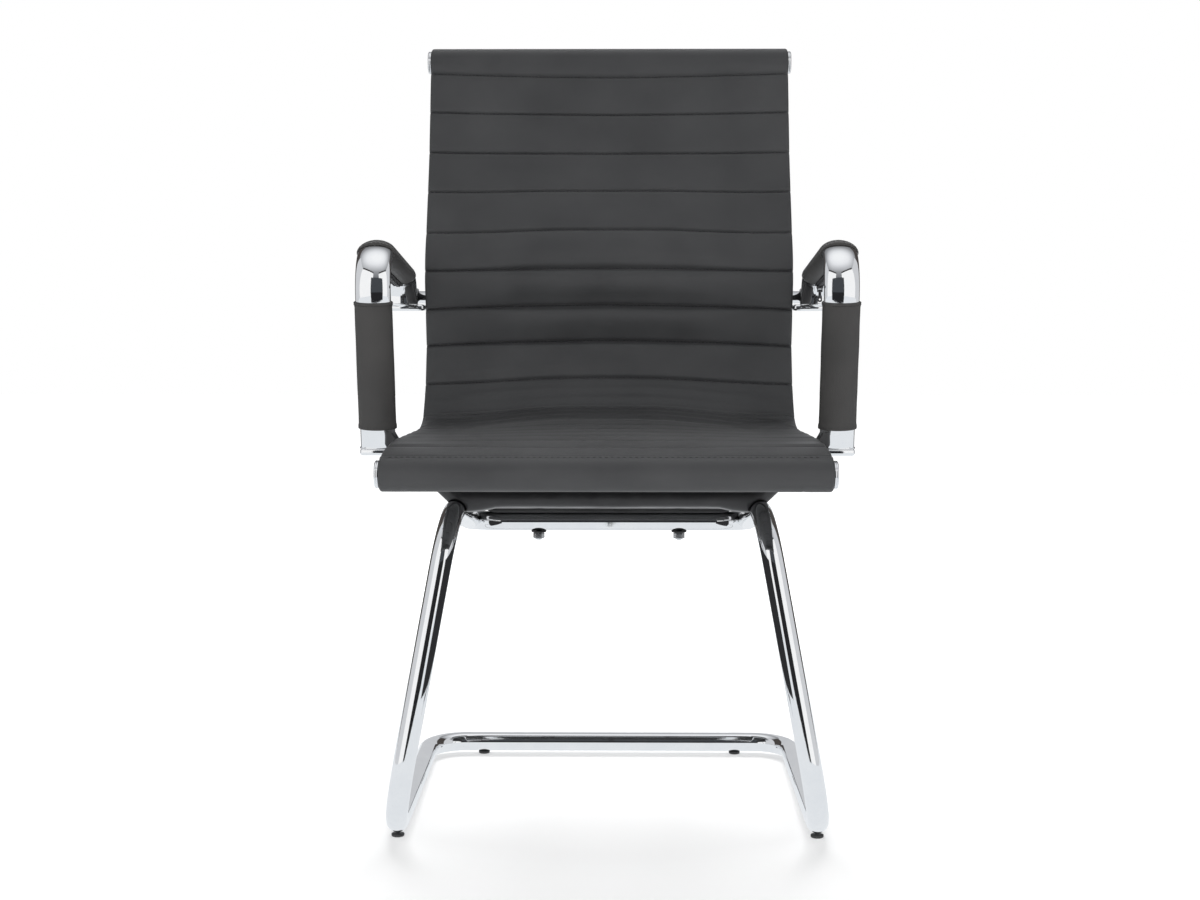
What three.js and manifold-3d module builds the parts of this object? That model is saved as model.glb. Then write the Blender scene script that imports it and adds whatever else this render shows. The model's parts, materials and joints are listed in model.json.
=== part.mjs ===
import * as THREE from "three";
import { mergeVertices } from "three/addons/utils/BufferGeometryUtils.js";
import Module from "manifold-3d";

const wasm = await Module();
wasm.setup();

// A sled base visitor chair with a ribbed sling for its seat and back, in millimetres.
// The chair faces -Y, +X is to the right for someone looking at its front, and +Z is up.
// Y is counted from the front cross tube. At the end the chair is centred over its footprint.

// Fits
const clearance = 0.3; // gap between pieces that touch
const overrun = 4; // how far a cutting tool reaches past the face that it cuts
const mergeDistance = 0.001;

// Sling
const slingWidth = 468;
const slingThickness = 10;
const hemThickness = 22;
const hemWidth = 27;
const hemStep = 2; // width over which the hem thins to the sheet
const edgeRounding = 3;
const rollRadius = 18; // outside of the sling where it turns round a cross tube
const seatTopHeight = 459.4; // top of the front roll above the floor
const seatDepth = 474; // front cross tube to the deepest place of the lower back
const bendRise = 105; // seat surface up to that deepest place
const backLean = 84; // how far the top of the back stands behind that deepest place
const backTopHeight = 948; // top roll above the floor
const ribPitch = 53;
const ribCrown = 1.5;
const ribGroove = 1.5;
const firstSeam = 6; // front cross tube to the first seam, along the sling
const lastSeam = 18; // last seam to the top roll, along the sling
const tautHalfWidth = 90; // middle strip of the sling, which cuts the corner between seat and back
const tautFill = 13; // how far the middle strip stands off the rails there
const tautSpread = 120; // length over which it does so
const straightSpan = 100; // longest stretch of its rear face drawn as one plane
const seatProfileShares = [
  [0, 0],
  [0.17, 0.02],
  [0.52, 0.02],
  [0.74, 0.015],
  [0.85, 0.055],
  [0.905, 0.17],
  [0.96, 0.44],
  [0.992, 0.78],
  [1, 1],
];
const backProfileShares = [
  [-0.107, 0.155],
  [-0.16, 0.22],
  [-0.12, 0.283],
  [-0.012, 0.344],
  [0.179, 0.428],
  [0.393, 0.535],
  [0.602, 0.642],
  [0.82, 0.817],
  [0.965, 0.948],
  [1, 1],
];

// Cross tubes, end caps and side rails
const crossTubeRadius = 12.5;
const crossTubeWall = 2;
const capRadius = 14.5;
const capThickness = 4.5;
const capChamfer = 0.8;
const capPlugLength = 12;
const railWidth = 18;
const railThickness = 12;
const railDepth = 5; // leather and padding in front of the rail

// Sled frame
const frameTubeRadius = 12.5;
const padHeight = 3.5;
const floorOverhang = 9; // how far the floor runs stand out beyond the sling
const floorHalfWidth = slingWidth / 2 + floorOverhang;
const floorRearReach = 115; // rear floor run behind the deepest place of the lower back
const floorRearY = seatDepth + floorRearReach;
const floorRearBend = 50;
const legFootY = 123.3; // where the leg's line meets the floor run's line
const legFootBend = 85;
const legTopInset = 58.5; // from the sling's edge
const legTopHalfWidth = slingWidth / 2 - legTopInset;
const legTopY = 163;
const legTopDrop = 72.4; // below the top of the front roll
const legTopHeight = seatTopHeight - legTopDrop;
const legTopBend = 60;
const upperRearInset = 55; // from the sling's edge
const upperRearHalfWidth = slingWidth / 2 - upperRearInset;
const upperRearReach = 26; // behind the deepest place of the lower back
const upperRearY = seatDepth + upperRearReach;
const upperRearDrop = 128.4; // below the top of the front roll
const upperRearHeight = seatTopHeight - upperRearDrop;
const upperRearBend = 45;

// Foot pads
const padRadius = 6.5;
const padStemRadius = 2.5;
const padStemHeight = 7;
const padChamfer = 0.8;
const frontPadY = 200;
const rearPadInset = 72; // from the floor run's middle line
const rearPadX = floorHalfWidth - rearPadInset;

// Seat brackets
const bracketThickness = 5;
const bracketFlangeWidth = 27;
const bracketRiseInset = 25; // from the sling's edge to where an upright part meets its flange
const bracketRiseX = slingWidth / 2 - bracketRiseInset;
const bracketFlangeBend = 8;
const frontBracketY = 235;
const frontBracketDepth = 40;
const frontBracketThickness = 18; // a flat oval bar, with strips at its ends as flanges
const frontBracketFlatInset = 79.5; // from the sling's edge to the end of its level middle
const frontBracketSlope = 22; // degrees that it rises over the frame's upper runs
const frontBracketEndInset = 38; // from the sling's edge to where it turns up to its flange
const frontBracketBarInset = 42; // from the sling's edge to the end of the oval bar
const frontBracketBend = 40;
const frontBracketEndBend = 10;
const rearBracketDepth = 34;
const rearBracketSetback = 94; // its flanges, in front of the deepest place of the lower back
const rearBracketFlangeY = seatDepth - rearBracketSetback;
const rearBracketFlatInset = 74; // from the sling's edge to the end of its flat middle
const rearBracketFlatHalfWidth = slingWidth / 2 - rearBracketFlatInset;
const rearBracketBend = 24;

// Frame bolts, and screws into the rails and arms
const boltRadius = 4;
const boltHeadRadius = 7;
const boltHeadHeight = 4;
const boltSpacing = 183; // between the two rear bolts
const boltTail = 1.5; // how far a bolt passes its nut
const nutAcrossFlats = 13;
const nutHeight = 6.5;
const washerRadius = 10;
const washerHeight = 3.5;
const washerCrown = 1.8;
const screwRadius = 3;
const screwHeadRadius = 4.5;
const screwHeadHeight = 3.5;
const armScrewReach = 26; // thread inside the arm's foot
const railScrewMargin = 3; // rail left above a bracket screw

// Arms
const armSetOut = 22; // from the sling's edge to the arm's plane
const armPlaneX = slingWidth / 2 + armSetOut;
const armTubeWidth = 39;
const armTubeThickness = 18;
const flatHalfAngle = THREE.MathUtils.degToRad(15); // of the flats on the arm's elliptical section
const armFootY = 170.4;
const armPostLean = 13; // degrees that the front post leans forward
const armSlope = 5.4; // degrees that the top run falls towards the back
const armRise = 219; // top of the front roll up to where the lines of post and top run meet
const armFrontCornerHeight = seatTopHeight + armRise;
const armFrontBend = 42;
const armRearSetback = 18; // rear post, in front of the deepest place of the lower back
const armRearPostY = seatDepth - armRearSetback;
const armRearBend = 28;
const armRearPostDrop = 37.43; // rear foot below the rear corner of the arm's line
const armToe = 7; // how much further out the rear post stands than the front one
const footPlateThickness = 8;
const footPlateDepth = 25;
const armBracketRise = 18;
const armBracketLap = 9.5; // how far the front bracket reaches over the post
const armBracketTop = 6; // width of its level top, beside the post
const armBracketStep = 8; // height of its end at the hem
const armBracketWall = 6;

// Arm covers, sleeves and back stretcher
const coverWall = 4;
const coverSide = 2.2;
const coverFrontAngle = 20; // degrees of the front bend that the cover reaches over
const coverRearGap = 6;
const sleeveWall = 2.2;
const sleeveFootGap = 27;
const sleeveLength = 145.5;
const rearBracketWidth = 15;
const rearClampInset = 11.4; // from the hem to the clamp in front of the post
const rearClampWidth = 16;
const rearClampDepth = 14;
const rearClampStep = 8; // how far the stretcher's holder lies behind the clamp's front
const rearBracketRise = 33;
const rearBracketRounding = 6;
const rearBracketInset = 6.5; // stretcher left bare between hem and bracket
const stretcherRadius = 8;
const stretcherRise = 13; // above the arm's rear foot
const stretcherHold = 13; // how far the stretcher enters the bracket

// Zips under the arm covers
const zipTapeWidth = 12;
const zipTapeThickness = 1;
const zipTeethWidth = 4.5;
const zipTeethHeight = 1.2;
const zipFrontGap = 32; // from the start of the straight run
const zipRearGap = 9;
const sliderWidth = 8.5;
const sliderLength = 9;
const sliderThickness = 3.4;
const sliderEndGap = 3;
const earThickness = 1.2;
const earSpacing = 4.2;
const earLength = 3;
const earHeight = 4.2;
const barDrop = 3.1;
const barRadius = 0.8;
const pullThickness = 1.2;
const pullEyeRadius = 2.1;
const pullWidth = 5.6;
const pullLength = 13.5;
const pullNeck = 3.4;

// Facets
const arcStep = THREE.MathUtils.degToRad(15);
const tubeSides = 16;
const roundSides = 16;
const smallSides = 12;
const holeSides = 8;
const ovalSegments = 6;
const roundingSteps = 3;
const rollSteps = 9;
const lookSteps = 120;
const bendTurn = THREE.MathUtils.degToRad(9);

// Colours
const leatherColour = 0x464749;
const chromeColour = 0xd9dbdd;
const blackSteelColour = 0x1d1e20;
const blackPlasticColour = 0x232425;
const steelColour = 0xa9abad;
const zipColour = 0x2b2c2e;

const leather = () => finish(leatherColour, 0.55, 0);
const chrome = () => finish(chromeColour, 0.08, 1);
const blackSteel = () => finish(blackSteelColour, 0.45, 0.2);
const blackPlastic = () => finish(blackPlasticColour, 0.6, 0);
const steel = () => finish(steelColour, 0.3, 1);
const zipFabric = () => finish(zipColour, 0.8, 0);

function finish(color, roughness, metalness) {
  return new THREE.MeshStandardMaterial({ color, roughness, metalness });
}

const chair = new THREE.Group();
const sides = [
  ["left", -1],
  ["right", 1],
];

function piece(name, geometry, material, parent = chair) {
  const mesh = new THREE.Mesh(geometry, material);
  mesh.name = name;
  parent.add(mesh);
  return mesh;
}

// Solids

function signedVolume(positions, indices) {
  const a = new THREE.Vector3();
  const b = new THREE.Vector3();
  const c = new THREE.Vector3();
  let volume = 0;
  for (let i = 0; i < indices.length; i += 3) {
    a.fromArray(positions, indices[i] * 3);
    b.fromArray(positions, indices[i + 1] * 3);
    c.fromArray(positions, indices[i + 2] * 3);
    volume += a.dot(b.cross(c));
  }
  return volume / 6;
}

// A closed geometry as a solid whose faces point out.
function solidOf(geometry) {
  const bare = geometry.clone();
  bare.deleteAttribute("normal");
  bare.deleteAttribute("uv");
  const merged = mergeVertices(bare, mergeDistance);
  const positions = merged.attributes.position.array;
  const indices = new Uint32Array(merged.index.array);
  if (signedVolume(positions, indices) < 0) indices.reverse();
  return new wasm.Manifold(new wasm.Mesh({ numProp: 3, vertProperties: positions, triVerts: indices }));
}

function geometryOf(solid) {
  const mesh = solid.getMesh();
  const geometry = new THREE.BufferGeometry();
  geometry.setAttribute("position", new THREE.BufferAttribute(mesh.vertProperties, mesh.numProp));
  geometry.setIndex(new THREE.BufferAttribute(mesh.triVerts, 1));
  geometry.computeVertexNormals();
  return geometry;
}

const closed = (geometry) => geometryOf(solidOf(geometry));

function cut(geometry, tools) {
  let solid = solidOf(geometry);
  for (const tool of tools) solid = solid.subtract(solidOf(tool));
  return geometryOf(solid);
}

function join(geometries) {
  let solid = solidOf(geometries[0]);
  for (const other of geometries.slice(1)) solid = solid.add(solidOf(other));
  return geometryOf(solid);
}

// A geometry moved to a place, after optional turns about Y and then X.
function placed(geometry, x, y, z, turnX = 0, turnY = 0) {
  return geometry.clone().rotateY(turnY).rotateX(turnX).translate(x, y, z);
}

function mirroredX(geometry) {
  return closed(geometry.clone().scale(-1, 1, 1));
}

const zRod = (radius, length, count) => new THREE.CylinderGeometry(radius, radius, length, count).rotateX(Math.PI / 2);
const xRod = (radius, length, count) => new THREE.CylinderGeometry(radius, radius, length, count).rotateZ(Math.PI / 2);

// A turned piece about Z, from [radius, height] pairs.
function turned(profile, count) {
  const points = profile.map(([radius, height]) => new THREE.Vector2(radius, height));
  return new THREE.LatheGeometry(points, count).rotateX(Math.PI / 2);
}

// Courses of straight runs and bends

function bendPoints(before, corner, after, radius) {
  const inward = corner.clone().sub(before).normalize();
  const outward = after.clone().sub(corner).normalize();
  const turn = inward.angleTo(outward);
  const tangentLength = radius * Math.tan(turn / 2);
  const start = corner.clone().addScaledVector(inward, -tangentLength);
  const toCentre = outward.clone().sub(inward).normalize();
  const centre = corner.clone().addScaledVector(toCentre, radius / Math.cos(turn / 2));
  const spoke = start.clone().sub(centre);
  const steps = Math.ceil(turn / arcStep);
  return Array.from({ length: steps + 1 }, (_, i) => {
    const angle = (turn * i) / steps;
    const point = centre.clone().addScaledVector(spoke, Math.cos(angle));
    return point.addScaledVector(inward, radius * Math.sin(angle));
  });
}

// The points of an open course: its two ends, and each corner between them rounded by its radius.
function courseOf(corners, radii) {
  const points = [corners[0]];
  for (let i = 1; i < corners.length - 1; i++) {
    points.push(...bendPoints(corners[i - 1], corners[i], corners[i + 1], radii[i - 1]));
  }
  points.push(corners[corners.length - 1]);
  return points;
}

// The part of a course between two distances from its start.
function stretchOf(points, from, to) {
  const kept = [];
  let walked = 0;
  for (let i = 1; i < points.length; i++) {
    const step = points[i].distanceTo(points[i - 1]);
    for (const distance of [from, to]) {
      const share = (distance - walked) / step;
      if (share >= 0 && share < 1) kept.push(points[i - 1].clone().lerp(points[i], share));
    }
    walked += step;
    if (walked > from && walked < to) kept.push(points[i]);
  }
  return kept;
}

function lengthOf(points) {
  let length = 0;
  for (let i = 1; i < points.length; i++) length += points[i].distanceTo(points[i - 1]);
  return length;
}

// A curve that passes through its points one step at a time, so that a sweep has one ring at each.
class Course extends THREE.Curve {
  constructor(points) {
    super();
    this.points = points;
  }
  getPoint(t) {
    const last = this.points.length - 1;
    const index = Math.min(Math.floor(t * last), last - 1);
    return this.points[index].clone().lerp(this.points[index + 1], t * last - index);
  }
  getUtoTmapping(u) {
    return u;
  }
}

function sweep(shape, points) {
  const options = { steps: points.length - 1, extrudePath: new Course(points), curveSegments: ovalSegments };
  return new THREE.ExtrudeGeometry(shape, options);
}

function flatOval(width, thickness) {
  const radius = thickness / 2;
  const half = width / 2 - radius;
  const shape = new THREE.Shape();
  shape.absarc(half, 0, radius, -Math.PI / 2, Math.PI / 2);
  shape.absarc(-half, 0, radius, Math.PI / 2, Math.PI * 1.5);
  return shape;
}

// An ellipse with a narrow flat at its top and bottom.
function flattenedEllipse(width, thickness) {
  const reach = Math.PI / 2 - flatHalfAngle;
  const rise = thickness / 2 / Math.sin(reach);
  const shape = new THREE.Shape();
  shape.absellipse(0, 0, width / 2, rise, -reach, reach);
  shape.absellipse(0, 0, width / 2, rise, Math.PI - reach, Math.PI + reach);
  return shape;
}

function rectangle(width, height) {
  const shape = new THREE.Shape();
  shape.moveTo(-width / 2, -height / 2);
  shape.lineTo(width / 2, -height / 2);
  shape.lineTo(width / 2, height / 2);
  shape.lineTo(-width / 2, height / 2);
  shape.closePath();
  return shape;
}

// A side view outline, given as (y, z) points, given a width along X.
function acrossX(outline, width) {
  const geometry = new THREE.ExtrudeGeometry(new THREE.Shape(outline), { depth: width, bevelEnabled: false });
  const turn = new THREE.Matrix4().makeBasis(
    new THREE.Vector3(0, 1, 0),
    new THREE.Vector3(0, 0, 1),
    new THREE.Vector3(1, 0, 0),
  );
  return geometry.applyMatrix4(turn).translate(-width / 2, 0, 0);
}

// A front view outline, given as (x, z), given a depth along Y.
function acrossY(shape, depth) {
  const geometry = new THREE.ExtrudeGeometry(shape, {
    depth,
    bevelEnabled: false,
    curveSegments: roundingSteps,
  });
  return geometry.rotateX(Math.PI / 2).translate(0, depth / 2, 0);
}

function roundedRectangle(width, height, radius) {
  const shape = new THREE.Shape();
  const x = width / 2 - radius;
  const y = height / 2 - radius;
  shape.absarc(x, y, radius, 0, Math.PI / 2);
  shape.absarc(-x, y, radius, Math.PI / 2, Math.PI);
  shape.absarc(-x, -y, radius, Math.PI, Math.PI * 1.5);
  shape.absarc(x, -y, radius, Math.PI * 1.5, Math.PI * 2);
  return shape;
}

// Side view of the sling. The sitting face is the curve that its hems and rails follow.

const frontTubeHeight = seatTopHeight - rollRadius;
const topTubeHeight = backTopHeight - rollRadius;
const topTubeY = seatDepth + backLean + rollRadius;
const backRise = topTubeHeight - (seatTopHeight + bendRise);

const sittingFace = new THREE.SplineCurve([
  ...seatProfileShares.map(([y, z]) => new THREE.Vector2(y * seatDepth, seatTopHeight + z * bendRise)),
  ...backProfileShares.map(
    ([y, z]) => new THREE.Vector2(seatDepth + y * backLean, seatTopHeight + bendRise + z * backRise),
  ),
]);
sittingFace.arcLengthDivisions = 400;
const faceLength = sittingFace.getLength();
const ribCount = Math.round((faceLength - firstSeam - lastSeam) / ribPitch);
const ribLength = (faceLength - firstSeam - lastSeam) / ribCount;

// The point at a distance along the sitting face, moved towards the sitter by an offset.
function facePoint(distance, offset) {
  const share = THREE.MathUtils.clamp(distance / faceLength, 0, 1);
  const tangent = sittingFace.getTangentAt(share);
  const point = sittingFace.getPointAt(share);
  return point.add(new THREE.Vector2(-tangent.y, tangent.x).multiplyScalar(offset));
}

// The distance along the face at which a coordinate, x for depth or y for height, reaches a value.
function faceDistance(axis, value, from, to) {
  let low = from;
  let high = to;
  for (let i = 0; i < 40; i++) {
    const middle = (low + high) / 2;
    if (sittingFace.getPointAt(middle / faceLength)[axis] < value) low = middle;
    else high = middle;
  }
  return (low + high) / 2;
}

const bendDistance = faceDistance("y", seatTopHeight + bendRise / 4, seatDepth / 2, faceLength);

const ribShares = [0, 0.2, 0.8];
const ribHeights = [-ribGroove, ribCrown, ribCrown];

function frontFaceStations() {
  const stations = [[0, 0]];
  for (let rib = 0; rib < ribCount; rib++) {
    ribShares.forEach((share, i) => stations.push([firstSeam + (rib + share) * ribLength, ribHeights[i]]));
  }
  stations.push([faceLength - lastSeam, -ribGroove], [faceLength, 0]);
  return stations;
}

// Distances between two places on the face, close together where it bends and far apart where it is straight.
function bendStations(from, to) {
  const stations = [from];
  const lookStep = (to - from) / lookSteps;
  let lastTangent = sittingFace.getTangentAt(from / faceLength);
  for (let distance = from + lookStep; distance < to - lookStep; distance += lookStep) {
    const tangent = sittingFace.getTangentAt(distance / faceLength);
    const walked = distance - stations[stations.length - 1];
    if (lastTangent.angleTo(tangent) > bendTurn || walked > straightSpan) {
      stations.push(distance);
      lastTangent = tangent;
    }
  }
  stations.push(to);
  return stations;
}

function rollPoints(centreY, centreZ, radius, fromAngle, toAngle) {
  return Array.from({ length: rollSteps - 1 }, (_, i) => {
    const angle = fromAngle + ((toAngle - fromAngle) * (i + 1)) / rollSteps;
    return new THREE.Vector2(centreY + radius * Math.cos(angle), centreZ + radius * Math.sin(angle));
  });
}

// The sling's outline in one slice: sheet thickness, rounding at the edge, and share of the taut fill.
function slingOutline(thickness, inset, fillShare) {
  const fill = (distance) => fillShare * tautFill * Math.exp(-(((distance - bendDistance) / tautSpread) ** 2));
  const radius = rollRadius - inset;
  const meeting = Math.asin((rollRadius - thickness + inset) / radius);
  const front = frontFaceStations().map(([distance, height]) => facePoint(distance, height - inset + fill(distance)));
  const topRoll = rollPoints(topTubeY, topTubeHeight, radius, Math.PI, -Math.PI / 2 - meeting);
  const rearStations = bendStations(rollRadius, faceLength - rollRadius);
  const rear = rearStations.map((distance) => facePoint(distance, inset - thickness + fill(distance)));
  const frontRoll = rollPoints(0, frontTubeHeight, radius, meeting, -Math.PI * 1.5);
  return [...front, ...topRoll, ...rear.reverse(), ...frontRoll];
}

function slingSlices() {
  const edge = slingWidth / 2;
  const hemInner = edge - hemWidth;
  const half = [
    [edge, hemThickness, edgeRounding, 0],
    [edge - edgeRounding, hemThickness, 0, 0],
    [hemInner, hemThickness, 0, 0],
    [hemInner - hemStep, slingThickness, 0, 0],
    [tautHalfWidth, slingThickness, 0, 1],
  ];
  const left = half.map(([x, ...rest]) => [-x, ...rest]);
  return [...left, ...half.reverse()];
}

// The sling's body: slices across its width joined face to face, with both edges closed.
function slingBody() {
  const slices = slingSlices();
  const outlines = slices.map(([, thickness, inset, fill]) => slingOutline(thickness, inset, fill));
  const count = outlines[0].length;
  const positions = outlines.flatMap((outline, i) => outline.flatMap((p) => [slices[i][0], p.x, p.y]));
  const indices = [];
  for (let slice = 0; slice < slices.length - 1; slice++) {
    for (let i = 0; i < count; i++) {
      const a = slice * count + i;
      const b = slice * count + ((i + 1) % count);
      indices.push(a, b, a + count, b, b + count, a + count);
    }
  }
  const lid = THREE.ShapeUtils.triangulateShape(outlines[0], []);
  const last = (slices.length - 1) * count;
  for (const [a, b, c] of lid) {
    const facing = THREE.ShapeUtils.isClockWise(outlines[0]) ? [b, a] : [a, b];
    indices.push(facing[0], c, facing[1], facing[0] + last, facing[1] + last, c + last);
  }
  const geometry = new THREE.BufferGeometry();
  geometry.setAttribute("position", new THREE.Float32BufferAttribute(positions, 3));
  geometry.setIndex(indices);
  return geometry;
}

// The rail's outline in side view, grown all round by a margin.
function railOutline(margin) {
  const distances = bendStations(crossTubeRadius, faceLength - crossTubeRadius);
  const front = distances.map((distance) => facePoint(distance, margin - railDepth));
  const rear = distances.map((distance) => facePoint(distance, -railDepth - railThickness - margin));
  return [...front, ...rear.reverse()];
}

const railCentreX = slingWidth / 2 - hemWidth / 2;
const railCentreOffset = -railDepth - railThickness / 2;

// Screws along X fix the arms' feet to the rails, and screws along Z fix the brackets.
const armFrontScrew = facePoint(faceDistance("x", armFootY, 0, seatDepth), railCentreOffset);
const lean = THREE.MathUtils.degToRad(armPostLean);
const slope = THREE.MathUtils.degToRad(armSlope);
const armFootHeight = armFrontScrew.y;
const armFrontCornerY = armFootY - (armFrontCornerHeight - armFootHeight) * Math.tan(lean);
const armRearCornerHeight = armFrontCornerHeight - (armRearPostY - armFrontCornerY) * Math.tan(slope);
const armRearFootHeight = armRearCornerHeight - armRearPostDrop;
const stretcherHeight = armRearFootHeight + stretcherRise;
const armRearScrew = facePoint(
  faceDistance("y", armRearFootHeight, bendDistance, faceLength),
  railCentreOffset,
);
const armScrewPlaces = [
  ["front", armFrontScrew.x, armFrontScrew.y],
  ["rear", armRearScrew.x, armRearFootHeight],
];
// Holes have few sides, so they are drawn a little larger to keep the clearance at the middle of each side.
const screwHoleRadius = (screwRadius + clearance) / Math.cos(Math.PI / holeSides);
const railInnerX = railCentreX - railWidth / 2;
const headRecess = screwHeadHeight + clearance * 2;

// Lowest height of the hem's underside over a stretch of Y.
function hemUnderside(centreY, depth) {
  const heights = [-depth / 2, 0, depth / 2].map((shift) => {
    const distance = faceDistance("x", centreY + shift, 0, seatDepth);
    return facePoint(distance, -hemThickness).y;
  });
  return Math.min(...heights);
}

const bracketPlaces = [
  ["front", frontBracketY, hemUnderside(frontBracketY, frontBracketDepth) - clearance],
  ["rear", rearBracketFlangeY, hemUnderside(rearBracketFlangeY, rearBracketDepth) - clearance],
];

function railScrewTop(y) {
  const distance = faceDistance("x", y, 0, seatDepth);
  return facePoint(distance, -railDepth).y - railScrewMargin;
}

// Holes through one rail and out of its hem, on one side of the chair.
function screwHoles(side) {
  const reach = slingWidth / 2 + overrun - railInnerX;
  const armHoles = armScrewPlaces.map(([, y, z]) =>
    placed(xRod(screwHoleRadius, reach, holeSides), side * (railInnerX + reach / 2), y, z),
  );
  const bracketHoles = bracketPlaces.map(([, y, z]) => {
    const top = railScrewTop(y) + clearance;
    const length = top - z + overrun;
    return placed(zRod(screwHoleRadius, length, holeSides), side * railCentreX, y, top - length / 2);
  });
  return [...armHoles, ...bracketHoles];
}

const tubePlaces = [
  ["front", 0, frontTubeHeight],
  ["top", topTubeY, topTubeHeight],
];

// Recesses in the rail's inner face, in which the heads of the arm screws lie.
function headRecesses(side) {
  const recess = xRod(screwHeadRadius + clearance, headRecess * 2, smallSides);
  return armScrewPlaces.map(([, y, z]) => placed(recess, side * railInnerX, y, z));
}

function tubeBores() {
  const bore = xRod(crossTubeRadius + clearance, slingWidth + overrun * 2, roundSides);
  return tubePlaces.map(([, y, z]) => placed(bore, 0, y, z));
}

function addSling() {
  const tunnel = acrossX(railOutline(clearance), railWidth + clearance * 2);
  const tools = tubeBores();
  for (const [, side] of sides) {
    tools.push(placed(tunnel, side * railCentreX, 0, 0));
    tools.push(...screwHoles(side));
  }
  piece("sling_cover", cut(slingBody(), tools), leather());
}

function addRails() {
  const rail = acrossX(railOutline(0), railWidth);
  for (const [name, side] of sides) {
    const tools = [...tubeBores(), ...screwHoles(side), ...headRecesses(side)];
    piece(`side_rail_${name}`, cut(placed(rail, side * railCentreX, 0, 0), tools), blackSteel());
  }
}

function crossTube() {
  const inner = crossTubeRadius - crossTubeWall;
  const half = slingWidth / 2;
  const profile = [
    [inner, -half],
    [crossTubeRadius, -half],
    [crossTubeRadius, half],
    [inner, half],
    [inner, -half],
  ];
  return closed(turned(profile, roundSides).rotateY(Math.PI / 2));
}

function endCap() {
  const plugRadius = crossTubeRadius - crossTubeWall - clearance;
  const profile = [
    [0, -capPlugLength],
    [plugRadius, -capPlugLength],
    [plugRadius, 0],
    [capRadius, 0],
    [capRadius, capThickness - capChamfer],
    [capRadius - capChamfer, capThickness],
    [0, capThickness],
  ];
  return closed(turned(profile, roundSides).rotateY(Math.PI / 2));
}

function addCrossTubes() {
  for (const [end, y, z] of tubePlaces) {
    piece(`${end}_cross_tube`, crossTube(), blackSteel()).position.set(0, y, z);
    for (const [name, side] of sides) {
      const cap = piece(`${end}_end_cap_${name}`, endCap(), chrome());
      cap.position.set(side * (slingWidth / 2 + clearance), y, z);
      cap.rotation.z = side > 0 ? 0 : Math.PI;
    }
  }
}

// Sled frame: one loop of round tube, bent at eight corners

const floorTubeHeight = padHeight + frameTubeRadius;
const upperRunSlope = (legTopHeight - upperRearHeight) / (upperRearY - legTopY);

function sledCourse() {
  const half = [
    [floorHalfWidth, floorRearY, floorTubeHeight, floorRearBend],
    [floorHalfWidth, legFootY, floorTubeHeight, legFootBend],
    [legTopHalfWidth, legTopY, legTopHeight, legTopBend],
    [upperRearHalfWidth, upperRearY, upperRearHeight, upperRearBend],
  ];
  const loop = [...half, ...half.map(([x, ...rest]) => [-x, ...rest]).reverse()];
  const start = new THREE.Vector3(0, floorRearY, floorTubeHeight);
  const corners = [start, ...loop.map(([x, y, z]) => new THREE.Vector3(x, y, z)), start.clone()];
  const radii = loop.map(([, , , radius]) => radius);
  return courseOf(corners, radii);
}

// Height of the upper run's centre line at a depth.
const upperRunHeight = (y) => legTopHeight - (y - legTopY) * upperRunSlope;

function upperRunHalfWidth(y) {
  const share = (y - legTopY) / (upperRearY - legTopY);
  return THREE.MathUtils.lerp(legTopHalfWidth, upperRearHalfWidth, share);
}

const runTilt = -Math.atan(upperRunSlope);

const frontBarSlope = THREE.MathUtils.degToRad(frontBracketSlope);

// Each frame bolt: its name, its place on the tube's centre line, its turns about X and Y,
// and the thickness of the bar that it holds.
function boltPlaces() {
  const frontX = upperRunHalfWidth(frontBracketY);
  const frontZ = upperRunHeight(frontBracketY);
  return sides.flatMap(([name, side]) => [
    [`front_${name}`, side * frontX, frontBracketY, frontZ, runTilt, -side * frontBarSlope, frontBracketThickness],
    [`rear_${name}`, (side * boltSpacing) / 2, upperRearY, upperRearHeight, 0, 0, bracketThickness],
  ]);
}

function padPlaces() {
  return sides.flatMap(([name, side]) => [
    [`front_${name}`, side * floorHalfWidth, frontPadY],
    [`rear_${name}`, side * rearPadX, floorRearY],
  ]);
}

function addSledFrame() {
  const course = sledCourse();
  const tube = new THREE.TubeGeometry(new Course(course), course.length - 1, frameTubeRadius, tubeSides, true);
  const drill = zRod(boltRadius + clearance, frameTubeRadius * 2 + overrun * 2, smallSides);
  const holes = boltPlaces().map(([, x, y, z, turnX, turnY]) => placed(drill, x, y, z, turnX, turnY));
  const socketHeight = padStemHeight + clearance * 2 + overrun;
  const socket = zRod(padStemRadius + clearance, socketHeight, smallSides);
  for (const [, x, y] of padPlaces()) {
    holes.push(placed(socket, x, y, padHeight + padStemHeight + clearance - socketHeight / 2));
  }
  piece("sled_frame", cut(tube, holes), chrome());
}

function addPads() {
  const profile = [
    [0, 0],
    [padRadius - padChamfer, 0],
    [padRadius, padChamfer],
    [padRadius, padHeight - clearance],
    [padStemRadius, padHeight - clearance],
    [padStemRadius, padHeight + padStemHeight],
    [0, padHeight + padStemHeight],
  ];
  for (const [name, x, y] of padPlaces()) {
    piece(`foot_pad_${name}`, closed(turned(profile, smallSides)), blackPlastic()).position.set(x, y, 0);
  }
}

// Seat brackets: bent flat bars from the frame up to the rails

// A course in the XZ plane from a left flange to the right one, from the corners of its right half.
function barCourse(halfCorners, halfRadii) {
  const right = halfCorners.map(([x, z]) => new THREE.Vector3(x, 0, z));
  const left = halfCorners.map(([x, z]) => new THREE.Vector3(-x, 0, z)).reverse();
  return courseOf([...left, ...right], [...[...halfRadii].reverse(), ...halfRadii]);
}

// Moves each point of a geometry by a function of its place.
function reshaped(geometry, move) {
  const moved = geometry.clone();
  const position = moved.attributes.position;
  const point = new THREE.Vector3();
  for (let i = 0; i < position.count; i++) {
    point.fromBufferAttribute(position, i);
    move(point);
    position.setXYZ(i, point.x, point.y, point.z);
  }
  return moved;
}

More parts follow.
